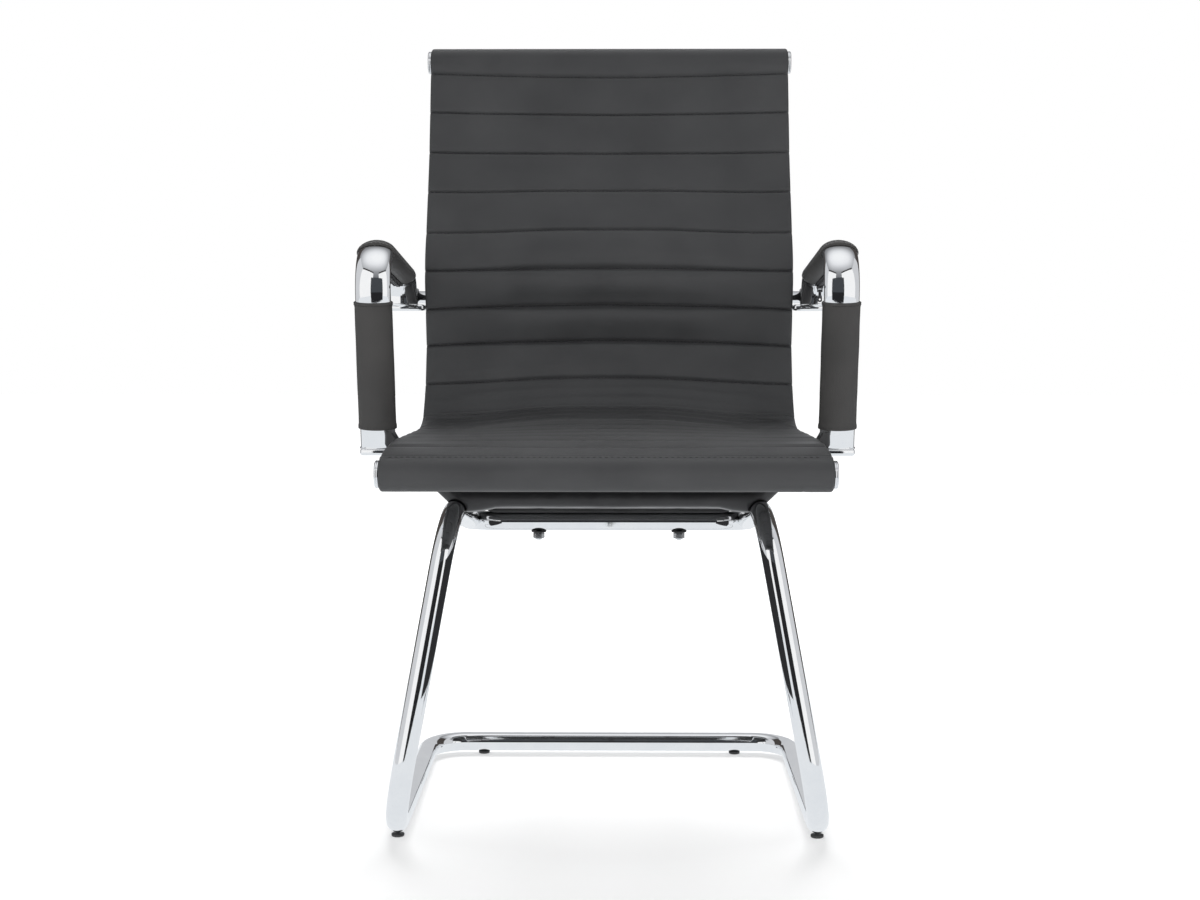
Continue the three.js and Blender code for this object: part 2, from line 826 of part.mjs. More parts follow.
const flangeEndX = bracketRiseX - bracketThickness + bracketFlangeWidth;

function frontBracket(flangeTop) {
  const flangeHeight = flangeTop - bracketThickness / 2;
  const runX = upperRunHalfWidth(frontBracketY);
  const offRun = frameTubeRadius / Math.cos(runTilt) + clearance + frontBracketThickness / 2;
  const overRun = upperRunHeight(frontBracketY) + offRun / Math.cos(frontBarSlope);
  const slopedHeight = (x) => overRun + (x - runX) * Math.tan(frontBarSlope);
  const flatEndX = slingWidth / 2 - frontBracketFlatInset;
  const barEndX = slingWidth / 2 - frontBracketBarInset;
  const turnX = slingWidth / 2 - frontBracketEndInset;
  const flatEnd = [flatEndX, slopedHeight(flatEndX)];
  const barEnd = [barEndX, slopedHeight(barEndX)];
  const stripCorners = [
    flatEnd,
    [turnX, slopedHeight(turnX)],
    [bracketRiseX, flangeHeight],
    [flangeEndX, flangeHeight],
  ];
  const ovalCourse = barCourse([flatEnd, barEnd], [frontBracketBend]);
  const oval = sweep(flatOval(frontBracketDepth, frontBracketThickness), ovalCourse);
  const stripCourse = barCourse(stripCorners, [frontBracketBend, frontBracketEndBend, bracketFlangeBend]);
  const strip = sweep(rectangle(bracketThickness, frontBracketDepth - frontBracketThickness), stripCourse);
  const barTop = slopedHeight(turnX) + frontBracketThickness / 2;
  const flangeBottom = flangeTop - bracketThickness;
  const tilted = reshaped(join([oval, strip]), (point) => {
    const level = THREE.MathUtils.clamp((point.z - barTop) / (flangeBottom - barTop), 0, 1);
    point.z -= point.y * upperRunSlope * (1 - level);
  });
  return placed(tilted, 0, frontBracketY, 0);
}

function rearBracket(flangeTop) {
  const half = bracketThickness / 2;
  const flatHeight = upperRearHeight + frameTubeRadius + clearance + half;
  const corners = [
    [rearBracketFlatHalfWidth, flatHeight],
    [bracketRiseX, flangeTop - half],
    [flangeEndX, flangeTop - half],
  ];
  const course = barCourse(corners, [rearBracketBend, bracketFlangeBend]);
  const bar = sweep(rectangle(bracketThickness, rearBracketDepth), course);
  const flatTop = flatHeight + half;
  const flangeBottom = flangeTop - bracketThickness;
  return reshaped(bar, (point) => {
    const level = THREE.MathUtils.clamp((point.z - flatTop) / (flangeBottom - flatTop), 0, 1);
    point.y += THREE.MathUtils.lerp(upperRearY, rearBracketFlangeY, level);
  });
}

function addSeatBrackets() {
  const bars = [frontBracket(bracketPlaces[0][2]), rearBracket(bracketPlaces[1][2])];
  const drillReach = frameTubeRadius + frontBracketThickness + overrun;
  const boltDrill = zRod(boltRadius + clearance, drillReach * 2, smallSides);
  const screwDrill = zRod(screwHoleRadius, bracketThickness + overrun * 2, holeSides);
  bracketPlaces.forEach(([end, y, flangeTop], i) => {
    const bolts = boltPlaces().filter(([name]) => name.startsWith(end));
    const holes = bolts.map(([, x, boltY, z, turnX, turnY]) => placed(boltDrill, x, boltY, z, turnX, turnY));
    for (const [, side] of sides) {
      holes.push(placed(screwDrill, side * railCentreX, y, flangeTop - bracketThickness / 2));
    }
    piece(`seat_bracket_${end}`, cut(bars[i], holes), blackSteel());
  });
}

// Fasteners

// A round-headed screw: its head's seat is at zero, its shank points down.
function screwProfile(radius, headRadius, headHeight, length) {
  return [
    [0, -length],
    [radius, -length],
    [radius, 0],
    [headRadius, 0],
    [headRadius, headHeight / 2],
    [headRadius * Math.SQRT1_2, headHeight],
    [0, headHeight],
  ];
}

function hexNut() {
  const corner = nutAcrossFlats / Math.sqrt(3);
  const points = Array.from({ length: 6 }, (_, i) => {
    const angle = (i * Math.PI) / 3;
    return new THREE.Vector2(corner * Math.cos(angle), corner * Math.sin(angle));
  });
  const shape = new THREE.Shape(points);
  const hole = new THREE.Path().absarc(0, 0, boltRadius + clearance, 0, Math.PI * 2, true);
  shape.holes.push(hole);
  return new THREE.ExtrudeGeometry(shape, { depth: nutHeight, bevelEnabled: false, curveSegments: smallSides });
}

function domedWasher() {
  const inner = boltRadius + clearance;
  const profile = [
    [inner, 0],
    [inner, -washerHeight],
    [nutAcrossFlats / 2, -washerHeight],
    [washerRadius, -washerCrown],
    [washerRadius, 0],
    [inner, 0],
  ];
  return turned(profile, roundSides);
}

// Each stack hangs on a group at the tube's centre: head over the bar, washer and nut under the tube.
function addFrameBolts() {
  const washerTop = -frameTubeRadius - clearance;
  const nutTop = washerTop - washerHeight - clearance;
  const nutBottom = nutTop - nutHeight;
  for (const [name, x, y, z, turnX, turnY, barThickness] of boltPlaces()) {
    const seat = frameTubeRadius + barThickness + clearance * 3;
    const length = seat - nutBottom + boltTail;
    const bolt = turned(screwProfile(boltRadius, boltHeadRadius, boltHeadHeight, length), smallSides);
    const stack = new THREE.Group();
    stack.position.set(x, y, z);
    stack.rotation.set(turnX, turnY, 0);
    chair.add(stack);
    piece(`frame_bolt_${name}`, closed(bolt), steel(), stack).position.z = seat;
    piece(`frame_washer_${name}`, closed(domedWasher()), blackPlastic(), stack).position.z = washerTop;
    piece(`frame_nut_${name}`, closed(hexNut()), steel(), stack).position.z = nutBottom;
  }
}

function addBracketScrews() {
  for (const [end, y, flangeTop] of bracketPlaces) {
    const seat = flangeTop - bracketThickness - clearance;
    const length = railScrewTop(y) - seat;
    const screw = turned(screwProfile(screwRadius, screwHeadRadius, screwHeadHeight, length), smallSides);
    for (const [name, side] of sides) {
      const mesh = piece(`bracket_screw_${end}_${name}`, closed(screw), steel());
      mesh.position.set(side * railCentreX, y, seat);
      mesh.rotation.x = Math.PI;
    }
  }
}

function addArmScrews() {
  const seatX = railInnerX + headRecess - clearance;
  const length = slingWidth / 2 + armScrewReach - seatX;
  const screw = turned(screwProfile(screwRadius, screwHeadRadius, screwHeadHeight, length), smallSides);
  for (const [end, y, z] of armScrewPlaces) {
    for (const [name, side] of sides) {
      const mesh = piece(`arm_screw_${end}_${name}`, closed(screw), steel());
      mesh.position.set(side * seatX, y, z);
      mesh.rotation.y = (-side * Math.PI) / 2;
    }
  }
}

// Arms. Each is drawn in its own plane, with X counted from that plane away from the seat.

const armCourse = courseOf(
  [
    new THREE.Vector3(0, armFootY, armFootHeight),
    new THREE.Vector3(0, armFrontCornerY, armFrontCornerHeight),
    new THREE.Vector3(0, armRearPostY, armRearCornerHeight),
    new THREE.Vector3(0, armRearPostY, armRearFootHeight),
  ],
  [armFrontBend, armRearBend],
);
const frontTurn = Math.PI / 2 + lean + slope;
const rearTurn = Math.PI / 2 - slope;
const armFrontCorner = new THREE.Vector3(0, armFrontCornerY, armFrontCornerHeight);
const postLength =
  armFrontCorner.distanceTo(armCourse[0]) - armFrontBend * Math.tan(frontTurn / 2);
const armLength = lengthOf(armCourse);
const toeShare = armToe / (armRearPostY - armFrontCornerY);
const rearPostLength = armRearCornerHeight - armRearFootHeight - armRearBend * Math.tan(rearTurn / 2);
const topRunEnd = armLength - rearPostLength - armRearBend * rearTurn;
const topRunStart = postLength + armFrontBend * frontTurn;
const hemFaceX = slingWidth / 2 + clearance - armPlaneX; // the hem's outer face, seen from the arm's plane

// Turns an arm's piece outwards towards the back.
const toedOut = (geometry) =>
  reshaped(geometry, (point) => {
    point.x += (point.y - armFrontCornerY) * toeShare;
  });

function footPlate(centreY, centreZ, depth) {
  const outerX = armTubeWidth / 2 + (centreY - armFrontCornerY) * toeShare;
  const plate = new THREE.BoxGeometry(outerX - hemFaceX, depth, footPlateThickness);
  return placed(plate, (outerX + hemFaceX) / 2, centreY, centreZ);
}

const rearPlateFront = armRearPostY - armTubeThickness / 2;
const rearPlateDepth = armRearScrew.x + armTubeThickness / 2 - rearPlateFront;

function armTube() {
  const tube = toedOut(sweep(flattenedEllipse(armTubeWidth, armTubeThickness), armCourse));
  const plates = [
    footPlate(armFootY, armFootHeight, footPlateDepth),
    footPlate(rearPlateFront + rearPlateDepth / 2, armRearFootHeight, rearPlateDepth),
  ];
  const holeLength = armScrewReach + clearance * 2 + overrun;
  const holes = armScrewPlaces.map(([, y, z]) =>
    placed(xRod(screwHoleRadius, holeLength, holeSides), hemFaceX - overrun + holeLength / 2, y, z),
  );
  return cut(join([tube, ...plates]), holes);
}

// The room that an arm tube needs in a piece round it.
function armTubeRoom(from, to) {
  const section = flattenedEllipse(armTubeWidth + clearance * 2, armTubeThickness + clearance * 2);
  return toedOut(sweep(section, stretchOf(armCourse, from, to)));
}

function padding(width, thickness, from, to) {
  const outer = toedOut(sweep(flattenedEllipse(width, thickness), stretchOf(armCourse, from, to)));
  return cut(outer, [armTubeRoom(from - overrun, to + overrun)]);
}

function armCover() {
  const from = topRunStart - armFrontBend * THREE.MathUtils.degToRad(coverFrontAngle);
  const width = armTubeWidth + coverSide * 2;
  return padding(width, armTubeThickness + coverWall * 2, from, topRunEnd - coverRearGap);
}

function postSleeve() {
  const width = armTubeWidth + sleeveWall * 2;
  const thickness = armTubeThickness + sleeveWall * 2;
  return padding(width, thickness, sleeveFootGap, sleeveFootGap + sleeveLength);
}

// A block between the front post's foot and the hem, which laps over the inner edge of the post.
// Its top slants down from the post to the hem.
function frontArmBracket() {
  const innerEdge = -armTubeWidth / 2;
  const width = innerEdge + armBracketLap - hemFaceX;
  const depth = armTubeThickness + armBracketWall * 2;
  const bottom = armFootHeight + footPlateThickness / 2 + clearance;
  const centreY = armFootY - (bottom + armBracketRise / 2 - armFootHeight) * Math.tan(lean);
  const outline = [
    new THREE.Vector2(0, 0),
    new THREE.Vector2(width, 0),
    new THREE.Vector2(width, armBracketRise),
    new THREE.Vector2(width - armBracketTop, armBracketRise),
    new THREE.Vector2(0, armBracketStep),
  ];
  const block = placed(acrossY(new THREE.Shape(outline), depth), hemFaceX, centreY, bottom);
  return cut(block, [armTubeRoom(clearance, sleeveFootGap + sleeveLength)]);
}

// The stretcher lies behind the hems, whatever their slope is at its height.
const stretcherStandoff = hemThickness + clearance + ribCrown + stretcherRadius;
const stretcherPlace = faceDistance("y", stretcherHeight, bendDistance, faceLength);
const stretcherFaceY = facePoint(stretcherPlace, 0).x;
const standoffReach = facePoint(stretcherPlace, -stretcherStandoff).x - stretcherFaceY;
const stretcherY = stretcherFaceY + stretcherStandoff ** 2 / standoffReach;

// A clamp in front of the rear post's inner part, joined to a block that holds the stretcher's end behind the post.
function rearArmBracket() {
  const innerX = hemFaceX + rearBracketInset;
  const clampX = hemFaceX + rearClampInset;
  const front = armRearPostY - armTubeThickness / 2 - armBracketWall;
  const rear = stretcherY + stretcherRadius + armBracketWall;
  const holderDepth = rear - front - rearClampStep;
  const bottom = armRearFootHeight + footPlateThickness / 2 + clearance;
  const centreZ = bottom + rearBracketRise / 2;
  const clamp = acrossY(roundedRectangle(rearClampWidth, rearBracketRise, rearBracketRounding), rearClampDepth);
  const holder = acrossY(roundedRectangle(rearBracketWidth, rearBracketRise, rearBracketRounding), holderDepth);
  const body = join([
    placed(clamp, clampX + rearClampWidth / 2, front + rearClampDepth / 2, centreZ),
    placed(holder, innerX + rearBracketWidth / 2, rear - holderDepth / 2, centreZ),
  ]);
  const room = armTubeRoom(topRunEnd, armLength - clearance);
  const socketLength = stretcherHold + clearance + overrun;
  const socket = xRod(stretcherRadius + clearance, socketLength, roundSides);
  const socketX = innerX - overrun + socketLength / 2;
  return cut(body, [room, placed(socket, socketX, stretcherY, stretcherHeight)]);
}

function addStretcher() {
  const length = (armPlaneX + hemFaceX + rearBracketInset + stretcherHold) * 2;
  const bar = piece("back_stretcher", closed(xRod(stretcherRadius, length, roundSides)), chrome());
  bar.position.set(0, stretcherY, stretcherHeight);
}

// Pieces that are mirror images on the two arms.
function addArmPair(name, geometry, material) {
  for (const [sideName, side] of sides) {
    const shape = side > 0 ? geometry : mirroredX(geometry);
    piece(`${name}_${sideName}`, shape, material()).position.x = side * armPlaneX;
  }
}

function addArms() {
  addArmPair("arm_tube", armTube(), chrome);
  addArmPair("arm_cover", armCover(), leather);
  addArmPair("post_sleeve", postSleeve(), leather);
  addArmPair("arm_bracket_front", frontArmBracket(), blackPlastic);
  addArmPair("arm_bracket_rear", rearArmBracket(), blackPlastic);
}

// Zips. A group lies along the underside of each arm's top run: its Y runs to the back, its Z is square to the run.

const zipStart = topRunStart + zipFrontGap;
const zipEnd = topRunEnd - coverRearGap - zipRearGap;
const zipLength = zipEnd - zipStart;
const tapeTop = -armTubeThickness / 2 - coverWall - clearance;
const teethBottom = tapeTop - zipTapeThickness - zipTeethHeight;
const sliderTop = tapeTop - zipTapeThickness - clearance;
const sliderTravel = zipLength - sliderLength - sliderEndGap * 2;
const barZ = sliderTop - sliderThickness - barDrop;

function zipTape() {
  const tape = new THREE.BoxGeometry(zipTapeWidth, zipLength, zipTapeThickness);
  const teeth = new THREE.BoxGeometry(zipTeethWidth, zipLength, zipTapeThickness + zipTeethHeight);
  return join([
    placed(tape, 0, zipLength / 2, tapeTop - zipTapeThickness / 2),
    placed(teeth, 0, zipLength / 2, (tapeTop + teethBottom) / 2),
  ]);
}

function zipSlider() {
  const body = new THREE.BoxGeometry(sliderWidth, sliderLength, sliderThickness);
  const ear = new THREE.BoxGeometry(earThickness, earLength, earHeight + sliderThickness / 2);
  const bar = xRod(barRadius, earSpacing + earThickness, smallSides);
  const earZ = sliderTop - sliderThickness / 2 - (earHeight + sliderThickness / 2) / 2;
  const earX = (earSpacing + earThickness) / 2;
  const solid = join([
    placed(body, 0, 0, sliderTop - sliderThickness / 2),
    placed(ear, earX, 0, earZ),
    placed(ear, -earX, 0, earZ),
    placed(bar, 0, 0, barZ),
  ]);
  const grooveHeight = sliderTop - teethBottom + clearance + overrun;
  const groove = new THREE.BoxGeometry(
    zipTeethWidth + clearance * 2,
    sliderLength + overrun * 2,
    grooveHeight,
  );
  return cut(solid, [placed(groove, 0, 0, teethBottom - clearance + grooveHeight / 2)]);
}

// The pull hangs straight down from the bar, whatever the slope of the arm.
function zipPull() {
  const shape = new THREE.Shape();
  shape.moveTo(-pullNeck / 2, pullEyeRadius);
  shape.lineTo(-pullNeck / 2, -earHeight);
  shape.lineTo(-pullWidth / 2, -earHeight - pullNeck / 2);
  shape.lineTo(-pullWidth / 2, -pullLength + pullNeck / 2);
  shape.lineTo(-pullNeck / 2, -pullLength);
  shape.lineTo(pullNeck / 2, -pullLength);
  shape.lineTo(pullWidth / 2, -pullLength + pullNeck / 2);
  shape.lineTo(pullWidth / 2, -earHeight - pullNeck / 2);
  shape.lineTo(pullNeck / 2, -earHeight);
  shape.lineTo(pullNeck / 2, pullEyeRadius);
  shape.closePath();
  const thickness = pullEyeRadius * 2;
  const plate = new THREE.ExtrudeGeometry(shape, { depth: thickness, bevelEnabled: false });
  const upright = plate.rotateX(Math.PI / 2).translate(0, thickness / 2, 0);
  const shaved = new THREE.BoxGeometry(pullWidth * 2, thickness, pullLength);
  const shavedZ = -pullEyeRadius - pullLength / 2;
  const shavedY = (thickness + pullThickness) / 2;
  const eye = xRod(barRadius + clearance, pullWidth + overrun * 2, smallSides);
  return cut(upright, [placed(shaved, 0, shavedY, shavedZ), placed(shaved, 0, -shavedY, shavedZ), eye]);
}

function addZips() {
  const restShares = { left: 0, right: 1 }; // the left zip is parked at its front end, the right one at its rear
  const runStart = stretchOf(armCourse, zipStart, armLength)[0];
  const toe = Math.atan(toeShare * Math.cos(slope));
  for (const [name, side] of sides) {
    const underside = new THREE.Group();
    underside.position.copy(runStart).setX(side * (armPlaneX + (runStart.y - armFrontCornerY) * toeShare));
    underside.rotation.set(-slope, 0, -side * toe);
    underside.updateMatrix();
    chair.add(underside);
    piece(`arm_zip_${name}`, zipTape(), zipFabric(), underside);
    const place = sliderLength / 2 + sliderEndGap + restShares[name] * sliderTravel;
    piece(`zip_slider_${name}`, zipSlider(), steel(), underside).position.y = place;
    const bar = new THREE.Vector3(0, place, barZ).applyMatrix4(underside.matrix);
    piece(`zip_pull_${name}`, zipPull(), steel()).position.copy(bar);
  }
}

addSledFrame();
addPads();
addSeatBrackets();
addFrameBolts();
addRails();
addCrossTubes();
addSling();
addBracketScrews();
addArmScrews();
addStretcher();
addArms();
addZips();

// The origin is on the floor, at the middle of the footprint.
chair.position.y = -(floorRearY + frameTubeRadius - rollRadius) / 2;

const part = new THREE.Group();
part.add(chair);

export default part;
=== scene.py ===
import bisect
import json
import math

import bmesh
import bpy
from mathutils import Matrix, Vector, noise


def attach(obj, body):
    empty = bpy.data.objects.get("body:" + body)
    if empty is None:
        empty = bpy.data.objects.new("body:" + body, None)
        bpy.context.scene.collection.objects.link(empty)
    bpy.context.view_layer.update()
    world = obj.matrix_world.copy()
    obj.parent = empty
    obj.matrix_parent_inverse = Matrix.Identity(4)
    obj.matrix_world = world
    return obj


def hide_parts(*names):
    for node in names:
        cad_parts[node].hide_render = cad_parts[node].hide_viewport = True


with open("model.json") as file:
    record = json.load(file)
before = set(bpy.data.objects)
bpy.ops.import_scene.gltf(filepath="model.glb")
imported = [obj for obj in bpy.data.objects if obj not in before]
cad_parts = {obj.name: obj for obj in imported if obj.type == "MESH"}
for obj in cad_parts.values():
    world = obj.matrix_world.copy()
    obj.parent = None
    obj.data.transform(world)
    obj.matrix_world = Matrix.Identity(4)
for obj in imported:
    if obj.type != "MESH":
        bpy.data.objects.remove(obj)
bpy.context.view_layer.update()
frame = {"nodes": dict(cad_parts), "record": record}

# The chair is worked out in millimetres. Y is counted from the front cross tube, as in the drawing of the part.
# Every mesh is turned to metres at the end, and moved so that the chair stands over the middle of its footprint.
MM = 0.001
CHAIR_CENTRE_Y = 291.75
CLEARANCE = 0.3
SIDES = (("left", -1), ("right", 1))

# Sling
SLING_WIDTH = 468
HALF_WIDTH = SLING_WIDTH / 2
SHEET_THICKNESS = 10
HEM_THICKNESS = 22
HEM_WIDTH = 27
HEM_STEP = 5
EDGE_ROUNDING = 3.4
ROLL_RADIUS = 18
SEAT_TOP = 459.4
SEAT_DEPTH = 474
BEND_RISE = 105
BACK_LEAN = 84
BACK_TOP = 948
RIB_PITCH = 53
RIB_CROWN = 1.7
RIB_ROUNDNESS = 3.2
REAR_CROWN_SHARE = 0.6
SEAM_DEPTH = 2.4
SEAM_WIDTH = 1.3
FIRST_SEAM = 6
LAST_SEAM = 18
ROLL_EASE = 8
LUMBAR_PLACE = 585
LUMBAR_SPREAD = 95
# Where the middle of the sling ends and where its sides begin, from the centre line.
LUMBAR_MIDDLE = (60, 215)
TAUT_MIDDLE = (45, 205)
SETTLE_LENGTH = 20
SEAT_SHARES = (
    (0, 0), (0.17, 0.02), (0.52, 0.02), (0.74, 0.015), (0.85, 0.055),
    (0.905, 0.17), (0.96, 0.44), (0.992, 0.78), (1, 1),
)
BACK_SHARES = (
    (-0.107, 0.155), (-0.16, 0.22), (-0.12, 0.283), (-0.012, 0.344), (0.179, 0.428),
    (0.393, 0.535), (0.602, 0.642), (0.82, 0.817), (0.965, 0.948), (1, 1),
)
# How far the taut middle of the sling stands off the plane of its rails, by distance along it.
TAUT_RISE = (
    (0, 0), (56, 2.5), (109, 5.5), (162, 6.5), (215, 6.5), (268, 6.5), (321, 8), (374, 10.5), (427, 12.5),
    (479, 11.5), (532, 9), (585, 9), (637, 10), (690, 9.5), (742, 6.5), (795, 3), (848, 0.5), (920, 0),
)
# How far the hems stand off the same plane.
HEM_RISE = (
    (0, 0), (22, 1.8), (50, 3.4), (95, 4.2), (142, 4.6), (200, 3.2),
    (260, 1.6), (333, 0), (411, -1), (460, 0), (920, 0),
)
# How far the seams are drawn up along the middle of the sling.
SEAM_BOW = (
    (0, 0), (300, 0), (374, 0), (427, 1), (479, 5), (532, 8), (585, 7), (637, 2.6),
    (690, -1), (742, -2), (795, -3.5), (848, -4), (900, -5.5), (920, -4),
)
# How much lower each seam lies than evenly spaced seams would.
SEAM_SHIFT = (
    (0, 0), (300, 0), (427, 0), (479, 1), (532, 3.5), (585, 9), (637, 11.5),
    (690, 10.5), (742, 4.5), (795, 0.5), (848, -1.5), (900, -2), (920, 0),
)
# Creases that run in from both hems where the seat turns up, and slighter ones along the seat:
# place along the hem, slant, width, height and how far in they reach.
CREASES = (
    (70, -0.05, 5, 0.9, 120), (104, 0.04, 4, 1.0, 95), (138, -0.03, 5, 1.1, 130), (171, 0.05, 4, 1.0, 90),
    (205, 0.02, 5, 1.4, 140), (240, 0.08, 4, 1.5, 100), (268, 0.12, 4.5, 1.8, 120), (296, 0.2, 4.5, 2.3, 100),
    (318, 0.28, 4.5, 2.9, 110), (337, 0.22, 4, 3.4, 90), (354, 0.14, 3.8, 3.7, 100), (370, 0.05, 3.8, 3.8, 110),
    (386, -0.04, 4, 3.3, 90), (404, -0.12, 4.5, 2.7, 110), (424, -0.16, 5, 2.0, 95), (446, -0.18, 5.5, 1.4, 120),
)
CREASE_START = 14
CREASE_FULL = 22
# Long soft folds right across the middle, below the bend: place, width and height.
FOLDS = (
    (300, 5, 1.0), (327, 4.5, 1.4), (352, 4.5, 1.7), (372, 4.5, 1.8), (391, 4.5, 2.0), (409, 4.5, 2.2),
    (427, 4, 1.4), (443, 5, 1.8), (459, 4.5, 2.0), (497, 6, 1.2),
)
FOLD_INSET = 16
FOLD_EASE = 60
FOLD_WANDER = 3
CREASES_END = 540
# Where the mesh has points beside each seam.
SEAM_OFFSETS = (0, 0.5, 1, 1.6, 2.4, 3.6, 5.5, 8, 11, 14.5, 18, 21.5)

# Thread: pitch, length and radius of the stitches in a row
SEAM_STITCH = (4.6, 3.7, 0.42)
TOP_STITCH = (6.2, 4.6, 0.5)
COVER_STITCH = (3.6, 2.8, 0.3)
SLEEVE_STITCH = (3.4, 2.6, 0.26)
# Rings of one stitch: share of its length, share of its radius, and height in radii
STITCH_RINGS = ((0, 0.35, -0.9), (0.16, 0.9, -0.1), (0.5, 1, 0.15), (0.84, 0.9, -0.1), (1, 0.35, -0.9))
TOP_STITCH_Y = -2.2
TOP_STITCH_INSET = 8
HEM_STITCH_INSET = 5
HEM_STITCH_END = 24

# Cross tubes, caps and the back stretcher
CAP_RADIUS = 14.5
CAP_THICKNESS = 4.5
STRETCHER_RADIUS = 8
STRETCHER_Y = 497.124
STRETCHER_Z = 622
STRETCHER_INSET = 6.5
STRETCHER_HOLD = 13

# Sled frame
TUBE_RADIUS = 12.5
PAD_HEIGHT = 3.5
FLOOR_HALF_WIDTH = 243
FLOOR_REAR_Y = 589
LEG_FOOT_Y = 123.3
LEG_TOP = Vector((175.5, 163, 387))
UPPER_REAR = Vector((179, 500, 331))
FLOOR_TUBE_HEIGHT = PAD_HEIGHT + TUBE_RADIUS
# Corners of the right half, each with the radius of its bend.
SLED_CORNERS = (
    (FLOOR_HALF_WIDTH, FLOOR_REAR_Y, FLOOR_TUBE_HEIGHT, 50),
    (FLOOR_HALF_WIDTH, LEG_FOOT_Y, FLOOR_TUBE_HEIGHT, 85),
    (*LEG_TOP, 60),
    (*UPPER_REAR, 45),
)
PAD_RADIUS = 7.5
FRONT_PAD_Y = 200
REAR_PAD_X = 171

# Arms
ARM_PLANE_X = 256
ARM_TUBE_WIDTH = 39
ARM_TUBE_THICKNESS = 18
ARM_FOOT_Y = 170.4
ARM_FOOT_HEIGHT = 450.65
ARM_LEAN = math.radians(13)
ARM_SLOPE = math.radians(5.4)
ARM_CORNER_HEIGHT = 678.4
ARM_FRONT_BEND = 42
ARM_REAR_POST_Y = 456
ARM_REAR_BEND = 28
ARM_REAR_FOOT_HEIGHT = 609.003
ARM_TOE = 7
PLATE_THICKNESS = 8
PLATE_ROUNDING = 3.2
FRONT_PLATE_DEPTH = 25
FRONT_PLATE_REACH = 1.08
REAR_PLATE_FRONT = ARM_REAR_POST_Y - ARM_TUBE_THICKNESS / 2
REAR_PLATE_DEPTH = 39.96
REAR_PLATE_REACH = 7.2
WELD_RADIUS = 1.3
WELD_INSET = 0.4
HEM_FACE_X = HALF_WIDTH + CLEARANCE - ARM_PLANE_X
COVER_SIDE = 2.2
COVER_WALL = 4
COVER_SWELL = 1.1
COVER_FRONT_ANGLE = math.radians(20)
COVER_REAR_GAP = 6
COVER_STITCH_INSET = 7.2
SLEEVE_WALL = 2.2
SLEEVE_FOOT_GAP = 27
SLEEVE_LENGTH = 145.5
SLEEVE_STITCH_INSET = 3.2
LINING_ROOM = 0.5

# Brackets: sizes as width, depth and height, places as the middle of the right one
REAR_CLAMP_SIZE = (13, 7.6, 32.6)
REAR_CLAMP_PLACE = (250.8, 444.9, 629.8)
REAR_CLAMP_SLANT = 0.22
REAR_HOLDER_SIZE = (12, 47.5, 20)
REAR_HOLDER_PLACE = (252.5, 487.4, 623.5)
REAR_BRACKET_ROUNDING = 2.8
FRONT_BAR_Y = 235
FRONT_BAR_DEPTH = 40
FRONT_BAR_THICKNESS = 18
FRONT_BAR_SWELL = 5
FRONT_BAR_SWELL_X = 125
FRONT_BAR_SWELL_EASE = 30
# Corners of the brackets' right halves as (x, z).
FRONT_BAR_LEVEL = (173, 388.6)
FRONT_BAR_END = (192, 405.12)
FRONT_STRIP = ((188, 403.52), (196, 406.73), (209, 436.67), (231, 436.67))
REAR_BAR = ((160, 346.3), (209, 436.53), (231, 436.53))
STRIP_DEPTH = 26
STRIP_THICKNESS = 5
STRIP_ROUNDING = 1.2
FLANGE_LOWER = 411.556
FLANGE_UPPER = 434.172
UPPER_RUN_SLOPE = 0.166172
REAR_BAR_DEPTH = 34
REAR_BAR_LOW = 348.8
REAR_BAR_HIGH = 434.03
REAR_FLANGE_Y = 380

# Frame bolts: where they cross the tube, lean outward, tilt with the tube, and height of the head's seat
FRAME_BOLTS = (
    ("front", (176.248, FRONT_BAR_Y, 375.036), math.radians(22), -math.atan(UPPER_RUN_SLOPE), 31.4),
    ("rear", (91.5, UPPER_REAR.y, UPPER_REAR.z), 0, 0, 18.4),
)
BOLT_TAIL = -24.6
WASHER_TOP = -12.8
NUT_TOP = -15.2
NUT_FLATS = 13
NUT_HEIGHT = 7.8
NUT_CHAMFER = 0.9

# Zips, under the arm covers
ZIP_FRONT_GAP = 32
ZIP_REAR_GAP = 9
TAPE_TOP = -13.3
TAPE_OUTLINE = ((-6, 0), (-2, 0), (2, 0), (6, 0), (6, 0.8), (2, 1), (-2, 1), (-6, 0.8))
TAPE_STEP = 4
TOOTH_PITCH = 2.2
TOOTH_HALF_WIDTH = 1.2
TOOTH_HALF_LENGTH = 0.5
TOOTH_OFFSET = 1.05
SLIDER_LENGTH = 9
SLIDER_WIDTH = 8.5
SLIDER_HEIGHT = 3.4
SLIDER_END_GAP = 3
SLIDER_TOP = TAPE_TOP - 1.3
SLIDER_BAR_DROP = 3.1
# Right half of a pull, as (x, z) from the middle of its eye.
PULL_OUTLINE = ((1.7, -1.4), (1.7, -4.6), (2.4, -6.2), (2.8, -7), (2.8, -11.7), (2.2, -12.9), (1, -13.5))
PULL_THICKNESS = 1.2
PULL_HOLE_Z = -10.3
PULL_HOLE_RADIUS = 1.25
PULL_RIM_RADIUS = 1.8
PULL_RIM_RISE = 0.25
PULL_EYE_HALF = 1.7
PULL_EYE_RADII = (1.15, 2.1)


def ease(t):
    """From 0 to 1 with a soft start and a soft end."""
    t = min(max(t, 0), 1)
    return t * t * (3 - 2 * t)


def hump(off, width):
    """1 in its middle, fading out over about twice a width on both sides."""
    return math.exp(-((off / width) ** 2))


def uneven(*place):
    """A smooth random value at a place, the same each time."""
    return noise.noise(Vector(place))


def smooth_span(p1, p2, v1, v2, t):
    """The value at t on the way from p1 to p2, which leaves at the rate v1 and arrives at the rate v2."""
    return (2 * p1 - 2 * p2 + v1 + v2) * t**3 + (3 * p2 - 3 * p1 - 2 * v1 - v2) * t**2 + v1 * t + p1


